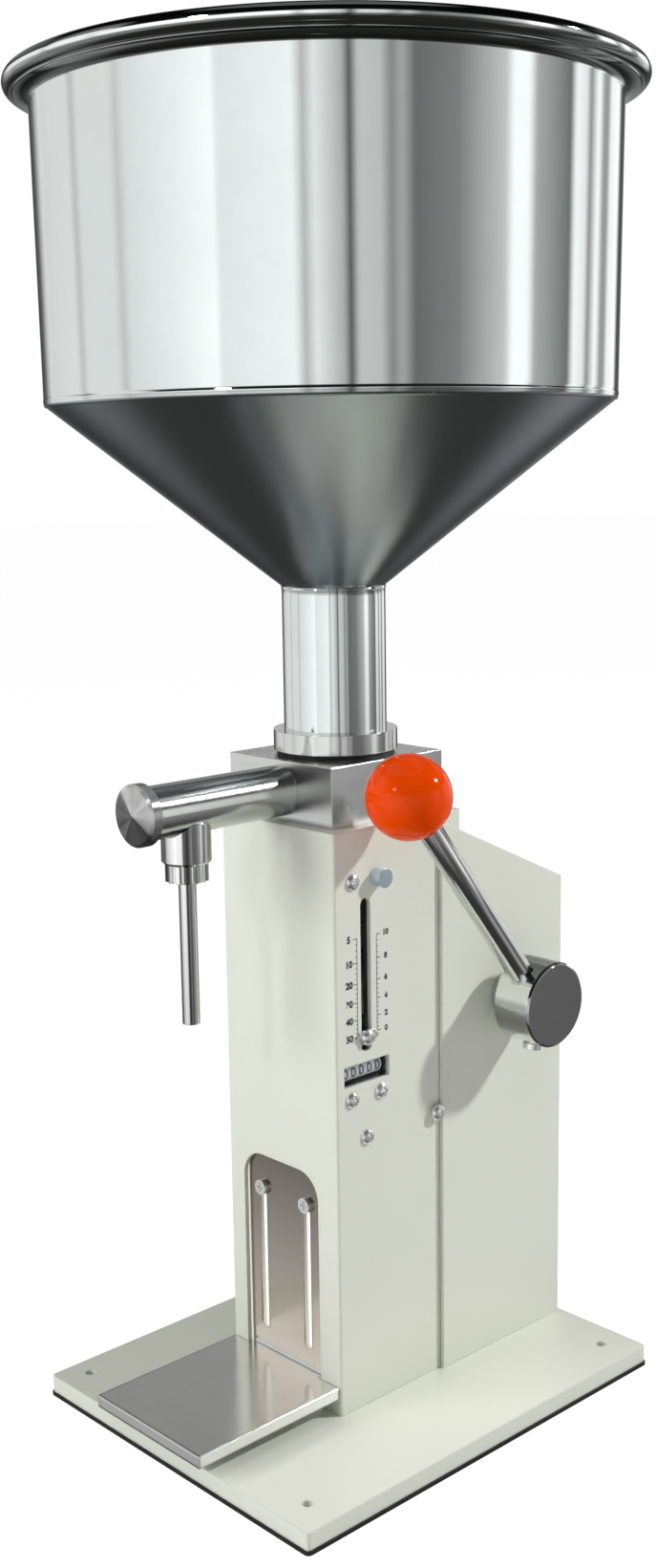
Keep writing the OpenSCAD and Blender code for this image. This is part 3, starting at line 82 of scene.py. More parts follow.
def make_camera():
    """Camera at the photograph's place: turned about +Z, tipped down, then rolled."""
    azimuth, pitch, roll = (math.radians(a) for a in CAMERA_ANGLES)
    forward = Vector((-math.sin(azimuth) * math.cos(pitch),
                      math.cos(azimuth) * math.cos(pitch), -math.sin(pitch)))
    right = Vector((math.cos(azimuth), math.sin(azimuth), 0))
    down = forward.cross(right)
    across = right * math.cos(roll) + down * math.sin(roll)
    below = down * math.cos(roll) - right * math.sin(roll)
    data = bpy.data.cameras.new("photo_camera")
    data.sensor_width = SENSOR_MM
    data.lens = LENS_MM
    data.clip_start, data.clip_end = 0.01, 50
    camera = bpy.data.objects.new("photo_camera", data)
    place = Matrix((across, -below, -forward)).transposed().to_4x4()
    place.translation = Vector(CAMERA_PLACE)
    camera.matrix_world = place
    scene.collection.objects.link(camera)
    scene.camera = camera


make_camera()


# ---------------------------------------------------------------- node helpers
class Tree:
    """A node tree with short calls for adding and linking nodes."""

    def __init__(self, tree):
        self.tree = tree

    def add(self, kind, **settings):
        node = self.tree.nodes.new(kind)
        for name, value in settings.items():
            setattr(node, name, value)
        return node

    def feed(self, socket, value):
        """Links an output to the socket, or sets the socket to a constant."""
        if isinstance(value, bpy.types.NodeSocket):
            self.tree.links.new(value, socket)
        else:
            socket.default_value = value

    def fed(self, node, *values):
        """A node's first output, with its first inputs fed in order."""
        for socket, value in zip(node.inputs, values):
            self.feed(socket, value)
        return node.outputs[0]

    def math(self, operation, *values):
        return self.fed(self.add("ShaderNodeMath", operation=operation), *values)

    def vector(self, operation, *values):
        return self.fed(self.add("ShaderNodeVectorMath", operation=operation), *values)

    def scaled(self, vector, scale):
        node = self.add("ShaderNodeVectorMath", operation="SCALE")
        self.feed(node.inputs["Scale"], scale)
        return self.fed(node, vector)

    def ranged(self, value, low, high, to_low, to_high):
        """The value mapped from one range to another and kept inside it."""
        return self.fed(self.add("ShaderNodeMapRange"), value, low, high, to_low, to_high)

    def fade(self, value, start, end):
        """A share that goes from 0 at start to 1 at end."""
        return self.ranged(value, start, end, 0.0, 1.0)

    def weighted(self, *pairs):
        """The sum of values, each times its weight."""
        total, *others = (self.math("MULTIPLY", value, weight) for value, weight in pairs)
        for part in others:
            total = self.math("ADD", total, part)
        return total

    def radius(self, x, y):
        """The length of (x, y)."""
        return self.math("SQRT", self.math("ADD", self.math("MULTIPLY", x, x),
                                           self.math("MULTIPLY", y, y)))

    def turn(self, x, y):
        """The angle of (x, y), as a share that goes from 0 at -180 degrees to 1 at 180."""
        return self.fade(self.math("ARCTAN2", y, x), -math.pi, math.pi)

    def noise(self, vector, scale, detail, roughness):
        node = self.add("ShaderNodeTexNoise")
        self.feed(node.inputs["Vector"], vector)
        node.inputs["Scale"].default_value = scale
        node.inputs["Detail"].default_value = detail
        node.inputs["Roughness"].default_value = roughness
        return node.outputs["Fac"]

    def mix(self, share, first, second):
        """One colour at share 0, the other at share 1."""
        node = self.add("ShaderNodeMix", data_type="RGBA")
        for i, value in ((0, share), (6, first), (7, second)):
            self.feed(node.inputs[i], value)
        return node.outputs[2]

    def split(self, vector):
        node = self.add("ShaderNodeSeparateXYZ")
        self.feed(node.inputs[0], vector)
        return node.outputs

    def join(self, x, y, z):
        return self.fed(self.add("ShaderNodeCombineXYZ"), x, y, z)

    def group(self, group, **values):
        node = self.add("ShaderNodeGroup", node_tree=group)
        for name, value in values.items():
            self.feed(node.inputs[name], value)
        return node.outputs


def new_group(name, inputs, outputs):
    """An empty node group with named inputs (name, kind, value) and outputs (name, kind)."""
    group = bpy.data.node_groups.new(name, "ShaderNodeTree")
    for label, kind, value in inputs:
        socket = group.interface.new_socket(label, in_out="INPUT", socket_type=kind)
        if value is not None:
            socket.default_value = value
    for label, kind in outputs:
        group.interface.new_socket(label, in_out="OUTPUT", socket_type=kind)
    tree = Tree(group)
    return group, tree, tree.add("NodeGroupInput").outputs, tree.add("NodeGroupOutput").inputs


FLOAT, VECTOR = "NodeSocketFloat", "NodeSocketVector"
LOW_AND_HIGH = [("Low", FLOAT, 0.0), ("High", FLOAT, 1.0)]


def grain_group():
    """Brushing lines: noise on a vector that the material has stretched along the grain."""
    group, t, given, out = new_group(
        "brushing_lines", [("Vector", VECTOR, None), *LOW_AND_HIGH],
        [("Value", FLOAT), ("Height", FLOAT)])
    fine = t.noise(given["Vector"], 1.0, 3.0, 0.6)
    coarse = t.noise(given["Vector"], 0.13, 2.0, 0.5)
    both = t.weighted((fine, 0.6), (coarse, 0.4))
    t.feed(out["Height"], both)
    t.feed(out["Value"], t.ranged(both, 0.3, 0.7, given["Low"], given["High"]))
    return group


def turned_group():
    """Rings left by a lathe: noise of the radius and of the place along the axis, which is Z."""
    group, t, given, out = new_group(
        "turned_rings", [("Vector", VECTOR, None), ("Rings", FLOAT, 2500.0), *LOW_AND_HIGH],
        [("Value", FLOAT), ("Height", FLOAT)])
    x, y, z = t.split(given["Vector"])
    ring = t.scaled(t.join(t.radius(x, y), 0.0, z), given["Rings"])
    fine = t.noise(ring, 1.0, 2.0, 0.6)
    broad = t.noise(ring, 0.06, 2.0, 0.5)
    t.feed(out["Height"], fine)
    both = t.weighted((fine, 0.7), (broad, 0.3))
    t.feed(out["Value"], t.ranged(both, 0.35, 0.65, given["Low"], given["High"]))
    return group


def cloud_group():
    """Slow uneven tone, such as handling marks: two noises of different size, as one value."""
    group, t, given, out = new_group(
        "handling_marks", [("Vector", VECTOR, None), ("Scale", FLOAT, 30.0), *LOW_AND_HIGH],
        [("Value", FLOAT)])
    spots = t.scaled(given["Vector"], given["Scale"])
    broad = t.noise(spots, 1.0, 3.0, 0.55)
    small = t.noise(spots, 7.0, 2.0, 0.5)
    both = t.weighted((broad, 0.7), (small, 0.3))
    t.feed(out["Value"], t.ranged(both, 0.35, 0.65, given["Low"], given["High"]))
    return group


def coat_group():
    """Powder-coat skin: soft orange peel."""
    group, t, given, out = new_group(
        "powder_coat", [("Vector", VECTOR, None), ("Grain", FLOAT, 900.0)], [("Height", FLOAT)])
    t.feed(out["Height"], t.noise(t.scaled(given["Vector"], given["Grain"]), 1.0, 2.0, 0.4))
    return group


GRAIN, TURNED, CLOUD, COAT = grain_group(), turned_group(), cloud_group(), coat_group()


def new_material(name, color, metallic=0.0, roughness=0.4, **sockets):
    """A material with its Principled shader; constants stay on the shader's own sockets."""
    material = bpy.data.materials.new(name)
    material.use_nodes = True
    tree = Tree(material.node_tree)
    shader = material.node_tree.nodes["Principled BSDF"]
    shader.inputs["Base Color"].default_value = (*color, 1)
    shader.inputs["Metallic"].default_value = metallic
    shader.inputs["Roughness"].default_value = roughness
    for label, value in sockets.items():
        shader.inputs[label.replace("_", " ")].default_value = value
    place = tree.add("ShaderNodeTexCoord").outputs["Object"]
    return material, tree, shader, place


def placed(t, place, centre, turn):
    """Object coordinates in a local frame at centre, turned by three angles."""
    node = t.add("ShaderNodeMapping", vector_type="TEXTURE")
    t.feed(node.inputs["Vector"], place)
    node.inputs["Location"].default_value = centre
    node.inputs["Rotation"].default_value = turn
    return node.outputs[0]


def stretched(t, place, scale):
    """Object coordinates times a scale for each axis."""
    node = t.add("ShaderNodeMapping", vector_type="POINT")
    t.feed(node.inputs["Vector"], place)
    node.inputs["Scale"].default_value = scale
    return node.outputs[0]


def cloudy(t, place, scale, low=0.0, high=1.0):
    """A value that drifts between low and high over the surface; scale is its fineness."""
    return t.group(CLOUD, Vector=place, Scale=scale, Low=low, High=high)["Value"]


def mottled(t, place, scale, color, level):
    """A colour that drifts between itself and a level of itself."""
    return t.mix(cloudy(t, place, scale), (*(c * level for c in color), 1), (*color, 1))


def peel(t, place, grain):
    """The height of a skin like orange peel."""
    return t.group(COAT, Vector=place, Grain=grain)["Height"]


def bump(t, shader, height, distance, strength, edge=0.0):
    """Bump from a height, over edges that look rounded by the edge radius if one is given."""
    node = t.add("ShaderNodeBump")
    node.inputs["Strength"].default_value = strength
    node.inputs["Distance"].default_value = distance
    t.feed(node.inputs["Height"], height)
    if edge:
        rounded = t.add("ShaderNodeBevel", samples=6)
        rounded.inputs["Radius"].default_value = edge
        t.feed(node.inputs["Normal"], rounded.outputs[0])
    t.feed(shader.inputs["Normal"], node.outputs[0])


def stretch_highlight(t, shader, direction, share):
    """Highlights drawn out along a direction, given in object space, by the brushing."""
    turned = t.add("ShaderNodeVectorTransform", vector_type="VECTOR", convert_from="OBJECT",
                   convert_to="WORLD")
    t.feed(turned.inputs[0], direction)
    t.feed(shader.inputs["Tangent"], turned.outputs[0])
    shader.inputs["Anisotropic"].default_value = share


def level_ramp(t, share, stops):
    """Grey levels over a share from 0 to 1, with one stop for each (share, level)."""
    node = t.add("ShaderNodeValToRGB")
    ramp = node.color_ramp
    while len(ramp.elements) > 1:
        ramp.elements.remove(ramp.elements[-1])
    for i, (position, level) in enumerate(stops):
        element = ramp.elements[0] if i == 0 else ramp.elements.new(position)
        element.position = position
        element.color = (level, level, level, 1)
    t.feed(node.inputs[0], share)
    return node.outputs[0]


def round_stops(stops):
    """Stops of (degrees, level), from -180 to 180, with the degrees as a share of the turn."""
    return [((degrees + 180) / 360, level) for degrees, level in stops]


def paint_band_reflection(t, place, shade, painted_bands):
    """Painted reflection and highlight: a colour times levels over the height, given as stops of
    (height, level).
    """
    low, high = painted_bands[0][0], painted_bands[-1][0]
    stops = [((height - low) / (high - low), level) for height, level in painted_bands]
    return t.vector("MULTIPLY", shade, level_ramp(t, t.fade(t.split(place)[Z], low, high), stops))


def paint_sector_reflection(t, place, centre, shade, across, beyond, stops):
    """Painted reflection and highlight: a colour times levels round an axis through centre, given
    as stops of (degrees, level).
    Across names two coordinates: the angle starts at the first and turns towards the second.
    What is no farther than beyond from the axis keeps the plain colour."""
    parts = t.split(t.vector("SUBTRACT", place, centre))
    first, second = (parts[i] for i in across)
    shaded = t.vector("MULTIPLY", shade, level_ramp(t, t.turn(first, second), round_stops(stops)))
    return t.mix(t.math("GREATER_THAN", t.radius(first, second), beyond), shade, shaded)


# ---------------------------------------------------------------- materials
def cream_paint():
    """Powder coat in a warm off-white, with slow changes of tone and gloss."""
    material, t, shader, place = new_material(
        "cream_paint", (0.78, 0.798, 0.705), roughness=0.42, Coat_Weight=0.1,
        Coat_Roughness=0.2)
    darker, lighter = (0.765, 0.785, 0.69, 1), (0.78, 0.80, 0.71, 1)
    t.feed(shader.inputs["Base Color"], t.mix(cloudy(t, place, 9.0), darker, lighter))
    t.feed(shader.inputs["Roughness"], cloudy(t, place, 40.0, 0.36, 0.46))
    bump(t, shader, peel(t, place, 750.0), 0.00003, 0.4, edge=0.0012)
    return material


def brushed(name, color, roughness, direction, grain, share, edge, painted_tones=None, levels=None):
    """Flat brushed metal. Direction is across the brushing lines; grain scales the lines' noise.
    Painted_tones, if given as (low, high), paint shade and reflection on the part above the first
    of two levels: its colour changes from the one to the other up to the second level."""
    material, t, shader, place = new_material(name, color, metallic=1.0, roughness=roughness)
    lines = t.group(GRAIN, Vector=stretched(t, place, grain), Low=roughness * 0.85,
                    High=roughness * 1.15)
    t.feed(shader.inputs["Roughness"], lines["Value"])
    shade = mottled(t, place, 12.0, color, 0.95)
    if painted_tones:
        height = t.split(place)[Z]
        above = t.fade(height, levels[0] - 0.001, levels[0] + 0.001)
        painted_tone = t.mix(t.fade(height, *levels), (*painted_tones[0], 1), (*painted_tones[1], 1))
        shade = t.mix(above, shade, painted_tone)
    t.feed(shader.inputs["Base Color"], shade)
    stretch_highlight(t, shader, t.join(*direction), share)
    bump(t, shader, lines["Height"], 0.0000006, 0.5, edge)
    return material


def turned_metal(name, color, roughness, centre, turn, share=0.8, rings=2500.0, edge=0.0,
                 depth=0.0000003, dull_with_painted_shade=None, painted_bands=None, painted_sectors=None):
    """Lathe-turned metal. Centre lies on the axis, well behind the piece, and turn lays the axis
    along Z. The vector from centre crosses the tool's rings on sides and on faces alike.
    Dull_with_painted_shade, if given as (low, high, added, painted_tone), is a band of heights
    with a rougher finish and a darker colour of its own, which is painted shade for a dim
    reflection. Painted_bands, if given, are the stops for paint_band_reflection, a painted
    reflection over the height. Painted_sectors, if given, are what paint_sector_reflection takes
    last: (across, beyond, stops), a painted reflection round the axis."""
    material, t, shader, place = new_material(name, color, metallic=1.0, roughness=roughness)
    marks = t.group(TURNED, Vector=placed(t, place, centre, turn), Rings=rings,
                    Low=roughness * 0.8, High=roughness * 1.2)
    gloss, shade = marks["Value"], mottled(t, place, 20.0, color, 0.95)
    if dull_with_painted_shade:
        low, high, added, painted_tone = dull_with_painted_shade
        height = t.split(place)[Z]
        inside = t.math("MULTIPLY", t.math("GREATER_THAN", height, low),
                        t.math("LESS_THAN", height, high))
        gloss = t.math("ADD", gloss, t.math("MULTIPLY", inside, added))
        shade = t.mix(inside, shade, (*painted_tone, 1))
    if painted_bands:
        shade = paint_band_reflection(t, place, shade, painted_bands)
    if painted_sectors:
        shade = paint_sector_reflection(t, place, centre, shade, *painted_sectors)
    t.feed(shader.inputs["Roughness"], gloss)
    t.feed(shader.inputs["Base Color"], shade)
    stretch_highlight(t, shader, t.vector("SUBTRACT", place, centre), share)
    bump(t, shader, marks["Height"], depth, 0.5, edge)
    return material


def plain_metal(name, color, low, high, metallic=1.0):
    """Plain metal with slow changes of gloss."""
    material, t, shader, place = new_material(name, color, metallic=metallic, roughness=low)
    t.feed(shader.inputs["Roughness"], cloudy(t, place, 30.0, low, high))
    t.feed(shader.inputs["Base Color"], mottled(t, place, 60.0, color, 0.9))
    bump(t, shader, peel(t, place, 600.0), 0.000004, 0.3, edge=0.0003)
    return material


def plastic(name, color, roughness, low_level=0.94, **sockets):
    """Plastic, rubber, paint or print with slow changes of tone and gloss."""
    material, t, shader, place = new_material(name, color, roughness=roughness, **sockets)
    t.feed(shader.inputs["Base Color"], mottled(t, place, 60.0, color, low_level))
    t.feed(shader.inputs["Roughness"],
           cloudy(t, place, 140.0, roughness * 0.85, roughness * 1.2))
    bump(t, shader, peel(t, place, 500.0), 0.000006, 0.3)
    return material


def clear_plastic():
    """The counter's window, which bends light a little less than real plastic does."""
    material, t, shader, place = new_material("clear_window", (0.95, 0.97, 0.97),
                                              roughness=0.05, Transmission_Weight=1.0, IOR=1.2)
    t.feed(shader.inputs["Roughness"], cloudy(t, place, 200.0, 0.02, 0.06))
    return material


# The photographed steel mirrors a dark room, so these pieces have levels in their colour.
# Painted reflection on the rim: darker bands on the flare's foot, the step and the bead stand for
# the mirrored dark room, and a brighter line between them is a painted highlight.
RIM_PAINTED_REFLECTION = (   # (height, level): flare, step, line and bead
    (0.6850, 1.0), (0.6862, 1.0), (0.6867, 0.2), (0.6882, 0.25), (0.6888, 0.5),
    (0.6938, 0.45), (0.6943, 1.25), (0.6957, 1.25), (0.6961, 0.2), (0.7005, 0.1))
# Painted reflections and highlights round the axes of the cap, the nozzle and the hub's side:
# light and dark sectors in their colour.
CAP_PAINTED_REFLECTION = (     # (degrees, level), as in the next two
    (-180, 0.2), (-150, 0.12), (-125, 0.3), (-118, 0.1), (-70, 0.13), (-35, 0.1), (-25, 0.5),
    (10, 0.65), (38, 0.75), (48, 1.0), (60, 0.8), (90, 0.7), (115, 1.0), (128, 0.9),
    (136, 0.35), (160, 0.2))
NOZZLE_PAINTED_REFLECTION = (
    (-180, 0.3), (-129, 0.06), (-95, 0.1), (-84, 0.9), (-60, 1.0), (-50, 0.9), (-45, 0.13),
    (-33, 0.1), (-26, 0.8), (8, 1.0), (20, 0.45), (40, 0.25), (120, 0.6))
HUB_PAINTED_REFLECTION = (
    (-180, 0.6), (-165, 0.45), (-150, 0.55), (-140, 1.1), (-115, 1.1), (-100, 0.4),
    (-60, 0.3), (40, 0.3), (52, 1.2), (60, 1.2), (68, 0.16), (105, 0.12), (125, 0.3),
    (140, 1.2), (165, 1.2), (172, 0.7))
HUB_FACE_RADIUS = 0.0231
# The cone's band is rougher, and its darker, bluer colour is painted shade for the dim reflection
# that the cone shows.
CONE_DULLING_AND_PAINTED_SHADE = (0.449, 0.5416, 0.2, (0.60, 0.64, 0.67))  # low, high, added roughness, tint
# Painted shade and reflection: the tray's leg is coloured light at its foot, where it mirrors the
# tray, and dark at its top, where the arch shades it.
LEG_PAINTED_TONES, LEG_LEVELS = ((0.88, 0.80, 0.72), (0.19, 0.17, 0.145)), (TRAY_TOP + 0.003, 0.16)

STEEL = (0.72, 0.73, 0.72)
BACK = 1.0      # how far off along its axis the centre of a turned piece's grain lies
TUBE_BACK = (PUMP_X, BACK, TUBE_Z)
ROD_BACK = (LEVER_X, SHAFT_Y + BACK * math.sin(LEAN), SHAFT_Z - BACK * math.cos(LEAN))
made = {
    "cream": cream_paint(),
    "hopper": turned_metal("hopper_steel", (0.755, 0.80, 0.79), 0.055, (PUMP_X, PUMP_Y, -BACK),
                           UPRIGHT, share=0.5, rings=1800.0, depth=0.00000015,
                           dull_with_painted_shade=CONE_DULLING_AND_PAINTED_SHADE, painted_bands=RIM_PAINTED_REFLECTION),
    "neck": turned_metal("turned_collar", STEEL, 0.14, (PUMP_X, PUMP_Y, -BACK), UPRIGHT,
                         share=0.6, edge=0.0004),
    "tube": turned_metal("turned_tube", (0.62, 0.63, 0.62), 0.17, TUBE_BACK, LAID_ALONG_Y,
                         share=0.4, edge=0.0004),
    "cap": turned_metal("turned_cap", (0.96, 0.97, 0.96), 0.38, TUBE_BACK, LAID_ALONG_Y,
                        share=0.97, rings=1500.0, edge=0.0004,
                        painted_sectors=((X, Z), 0.0, CAP_PAINTED_REFLECTION)),
    "nozzle": turned_metal("turned_nozzle", (0.93, 0.94, 0.93), 0.08, (PUMP_X, NOZZLE_Y, BACK),
                           UPRIGHT, edge=0.0004, painted_sectors=((X, Y), 0.0, NOZZLE_PAINTED_REFLECTION)),
    "hub": turned_metal("turned_hub", (0.80, 0.81, 0.80), 0.11, (-BACK, SHAFT_Y, SHAFT_Z),
                        LAID_ALONG_X, share=0.4, rings=2000.0, edge=0.0005,
                        painted_sectors=((Y, Z), HUB_FACE_RADIUS, HUB_PAINTED_REFLECTION)),
    "rod": turned_metal("turned_rod", STEEL, 0.13, ROD_BACK, (LEAN, 0, 0), share=0.6),
    "milled": brushed("milled_block", STEEL, 0.22, (0, 0, 1), (60, 60, 2500), share=0.7,
                      edge=0.0006),
    "tray": brushed("brushed_tray", (0.78, 0.785, 0.77), 0.17, (0, 0.7, 0.7), (60, 1500, 1500),
                    share=0.4, edge=0.002, painted_tones=LEG_PAINTED_TONES, levels=LEG_LEVELS),
    "steel": plain_metal("plain_steel", STEEL, 0.2, 0.32),
    "screw": plain_metal("bright_screws", (0.95, 0.95, 0.93), 0.18, 0.28, metallic=0.82),
    "dark": plain_metal("dark_steel", (0.30, 0.31, 0.32), 0.35, 0.5),
    "zinc": plain_metal("zinc_plate", (0.62, 0.76, 0.86), 0.18, 0.3, metallic=0.7),
    "bronze": plain_metal("bronze", (0.66, 0.45, 0.22), 0.28, 0.4),
    "rubber": plastic("black_rubber", (0.012, 0.012, 0.012), 0.7),
    "knob": plastic("orange_knob", (0.86, 0.066, 0.0005), 0.08,
                    low_level=0.97, Specular_IOR_Level=0.16),
    # The strip behind the leg glows a little, though it is no lamp: painted light, so that it
    # shows bright through the leg's slots.
    "backing": plastic("glowing_white_paint", (0.93, 0.93, 0.90), 0.4, Emission_Color=(1, 1, 0.97, 1),
                       Emission_Strength=0.4),
    "black": plastic("black_plastic", (0.02, 0.02, 0.022), 0.5),
    "white": plastic("white_plastic", (0.62, 0.62, 0.60), 0.35),
    "wheels": plastic("number_wheels", (0.86, 0.86, 0.92), 0.4),
    "figures": plastic("grey_print", (0.16, 0.16, 0.18), 0.5),
    "ink": plastic("black_print", (0.02, 0.02, 0.02), 0.5),
    "clear": clear_plastic(),
}

# The nodes of each material. What isn't named here is plain steel.
FINISH = {
    "cream": ["base_plate", "column_casing", "rear_cover"],
    "backing": ["leg_backing"],
    "rubber": ["base_mat", "hopper_gasket"],
    "dark": ["casing_stay", "bearing_frame", "rocker_arm", "guide_rail", "stop_block",
             "pin_clips", "inlet_spring", "discharge_spring"],
    "zinc": ["base_screws", "frame_screws", "shaft_collar", "block_screws", "lock_screw"],
    "screw": ["cover_edge_screws", "stay_screws", "platform_screws", "rail_screw",
              "pointer_screw", "counter_screws", "hub_screw", "scale_pointer"],
    "bronze": ["bush_left", "bush_right", "rod_bush", "pin_sleeves"],
    "hopper": ["hopper"],
    "neck": ["neck_collar"],
    "tube": ["discharge_tube"],
    "cap": ["tube_cap"],
    "nozzle": ["nozzle_socket", "nozzle_nut", "nozzle_pipe"],
    "hub": ["lever_hub"],
    "rod": ["lever_rod"],
    "milled": ["valve_block"],
    "tray": ["platform_tray"],
    "knob": ["ball_knob"],
    "white": ["piston_rings"],
    "wheels": ["counter_wheels"],
    "black": ["counter_case"],
    "clear": ["counter_lens"],
}
finish_of = {node: key for key, names in FINISH.items() for node in names}
for name, node in nodes_by_name.items():
    node.data.materials.clear()
    node.data.materials.append(made[finish_of.get(name, "steel")])


# ---------------------------------------------------------------- pieces
def add_piece(name, points, faces, material, body, smooth=True):
    """Links a mesh of points and faces as a piece that rides on a body."""
    mesh = bpy.data.meshes.new(name)
    mesh.from_pydata(np.asarray(points).tolist(), [],
                     faces if isinstance(faces, list) else faces.tolist())
    mesh.polygons.foreach_set("use_smooth", [smooth] * len(mesh.polygons))
    mesh.materials.append(material)
    mesh.update()
    piece = bpy.data.objects.new(name, mesh)
    scene.collection.objects.link(piece)
    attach(piece, body)
    return piece


def lathe(profile, segments, centre):
    """A profile of (radius, height), turned about the upright axis through centre: each point is
    centre + (r cos a, r sin a, h), for equal steps of the angle a. A profile that starts on the
    axis ends on it too and makes a solid with poles. Any other is closed on itself."""
    profile = np.asarray(profile, float)
    solid = profile[0, 0] == 0
    rings = profile[1:-1] if solid else profile
    turn = np.linspace(0, 2 * math.pi, segments, endpoint=False)
    radius, height = rings[:, 0][:, None], rings[:, 1][:, None]
    points = np.stack((centre[0] + radius * np.cos(turn), centre[1] + radius * np.sin(turn),
                       height + 0 * turn), axis=-1).reshape(-1, 3)
    rows, columns = np.meshgrid(np.arange(len(rings) - int(solid)), np.arange(segments),
                                indexing="ij")
    next_row, next_column = (rows + 1) % len(rings), (columns + 1) % segments
    faces = np.stack((rows * segments + columns, rows * segments + next_column,
                      next_row * segments + next_column, next_row * segments + columns),
                     axis=-1).reshape(-1, 4).tolist()
    if solid:
        first = np.arange(segments)
        second, last, foot = (first + 1) % segments, (len(rings) - 1) * segments, len(points)
        points = np.concatenate((points, [(*centre, profile[0, 1]), (*centre, profile[-1, 1])]))
        faces += np.stack((foot + 0 * first, second, first), -1).tolist()
        faces += np.stack((last + first, last + second, foot + 1 + 0 * first), -1).tolist()
    return points, faces


def arc(centre, radius, start, end, steps):
    """Points on a circle in the profile's plane, from one angle in degrees to another."""
    angle = np.radians(np.linspace(start, end, steps))
    return np.stack((centre[0] + radius * np.cos(angle), centre[1] + radius * np.sin(angle)), -1)


def quarter_flare(start, out, up, steps):
    """A quarter ellipse from start, which it leaves outwards, to a point where it runs upright:
    at the angle a it is start + (out (1 - cos a), up sin a)."""
    share = np.linspace(0, 1, steps) * QUARTER
    return np.stack((start[0] + out * (1 - np.cos(share)), start[1] + up * np.sin(share)), -1)


def straight(a, b, steps):
    """Points from a to b, closer together at both ends, without the end point."""
    share = (1 - np.cos(np.linspace(0, math.pi, steps, endpoint=False))) / 2
    return np.asarray(a) + (np.asarray(b) - np.asarray(a)) * share[:, None]


def weld(r, z, out, half):
    """A low weld bead on a wall at radius r, centred at height z: the seven middle points of a
    squared cosine that stands out by out and reaches half up and half down."""
    share = np.linspace(-1, 1, 9)[1:-1]
    return np.stack((r + out * np.cos(share * QUARTER) ** 2, z + half * share), -1)


def hopper_skin():
    """The hopper turned finely: neck, cone, wall, flare, upright step and rolled bead outside,
    then the same levels inside, with a polished weld at the neck and at the cone's top."""
    wall, neck_wall = 0.0012, 0.0015
    neck_r, low_r, top_r = 0.0273, 0.1466, 0.1481
    foot, neck_top, brow, brim = 0.36195, 0.4479, 0.5414, 0.6859
    flare_out, flare_up, flare_up_inside = 0.0079, 0.0042, 0.0034
    step_r, step_foot = top_r + flare_out, brim + 0.0045
    bead_z, bead_r = 0.6954, 0.0046
    neck_weld, wall_weld = (0.00035, 0.0011), (0.00025, 0.0012)     # (out, half)
    slope = math.atan2(brow - neck_top, low_r - neck_r)
    up_cone = np.array((math.cos(slope), math.sin(slope)))
    cone_foot = (neck_r, neck_top) + 0.0012 * up_cone
    cone_head = (low_r, brow) - 0.0016 * up_cone
    neck_in, low_in, top_in = neck_r - neck_wall, low_r - wall, top_r - wall
    profile = np.concatenate((
        # Outside, from the neck's foot up to the bead.
        straight((neck_r, foot), (neck_r, neck_top - 0.0022), 10),
        weld(neck_r, neck_top - 0.0011, *neck_weld),
        straight(cone_foot, cone_head, 26),
        [cone_head, (low_r - 0.0004, brow - 0.0008), (low_r, brow + 0.0006)],
        weld(low_r + 0.00001, brow + 0.0021, *wall_weld),
        straight((low_r, brow + 0.0045), (top_r, brim), 40),
        quarter_flare((top_r, brim), flare_out, flare_up, 16),
        [(step_r, step_foot)],
        arc((step_r, bead_z), bead_r, -90, 254.5, 72),
        # Inside, from the bead back down to the foot.
        [(step_r - wall, bead_z - bead_r * 0.9)],
        quarter_flare((top_in, brim + wall), flare_out, flare_up_inside, 12)[::-1],
        straight((top_in, brim), (low_in, brow + 0.0005), 20),
        straight((low_in, brow), (neck_in, neck_top), 20),
        straight((neck_in, neck_top - 0.0005), (neck_in, foot), 8),
        [(neck_in, foot)]))
    points, faces = lathe(profile, 360, (PUMP_X, PUMP_Y))
    piece = add_piece("hopper_skin", points, faces, made["hopper"], "machine")
    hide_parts("hopper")


hopper_skin()


def lever_pieces():
    """The ball knob and the rod, turned finely about the lever's axis: a ball with a flat at its
    foot, and a rod with small chamfers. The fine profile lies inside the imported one."""
    lay = Matrix.Translation((LEVER_X, SHAFT_Y, SHAFT_Z)) @ Matrix.Rotation(LEAN, 4, "X")
    ball_r, ball_z, flat_angle = 0.0222, 0.1627, -71.0
    ball = arc((0, ball_z), ball_r, flat_angle, 90.0, 110)
    ball = np.concatenate(([(0, ball[0, 1])], ball))
    rod_r, rod_foot, rod_head = 0.0068, 0.0106, 0.1416
    rod = [(0, rod_foot), (rod_r, rod_foot), (rod_r, 0.011), (rod_r, 0.0758), (rod_r, 0.1412),
           (0.0066, 0.1415), (0.0062, rod_head), (0, rod_head)]
    for name, profile, key, slot, replaced in (
            ("knob_ball", ball, "knob", "orange_knob", "ball_knob"),
            ("turned_lever_rod", rod, "rod", "stainless", "lever_rod")):
        points, faces = lathe(profile, 128, (0, 0))
        points = points @ np.array(lay.to_3x3()).T + np.array(lay.translation)
        piece = add_piece(name, points, faces, made[key], "lever")
        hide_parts(replaced)
        # The photograph shows no mirrored knob in the steel and no shadow of the rod.
        if key == "knob":
            piece.visible_glossy = False
        else:
            piece.visible_shadow = False


lever_pieces()


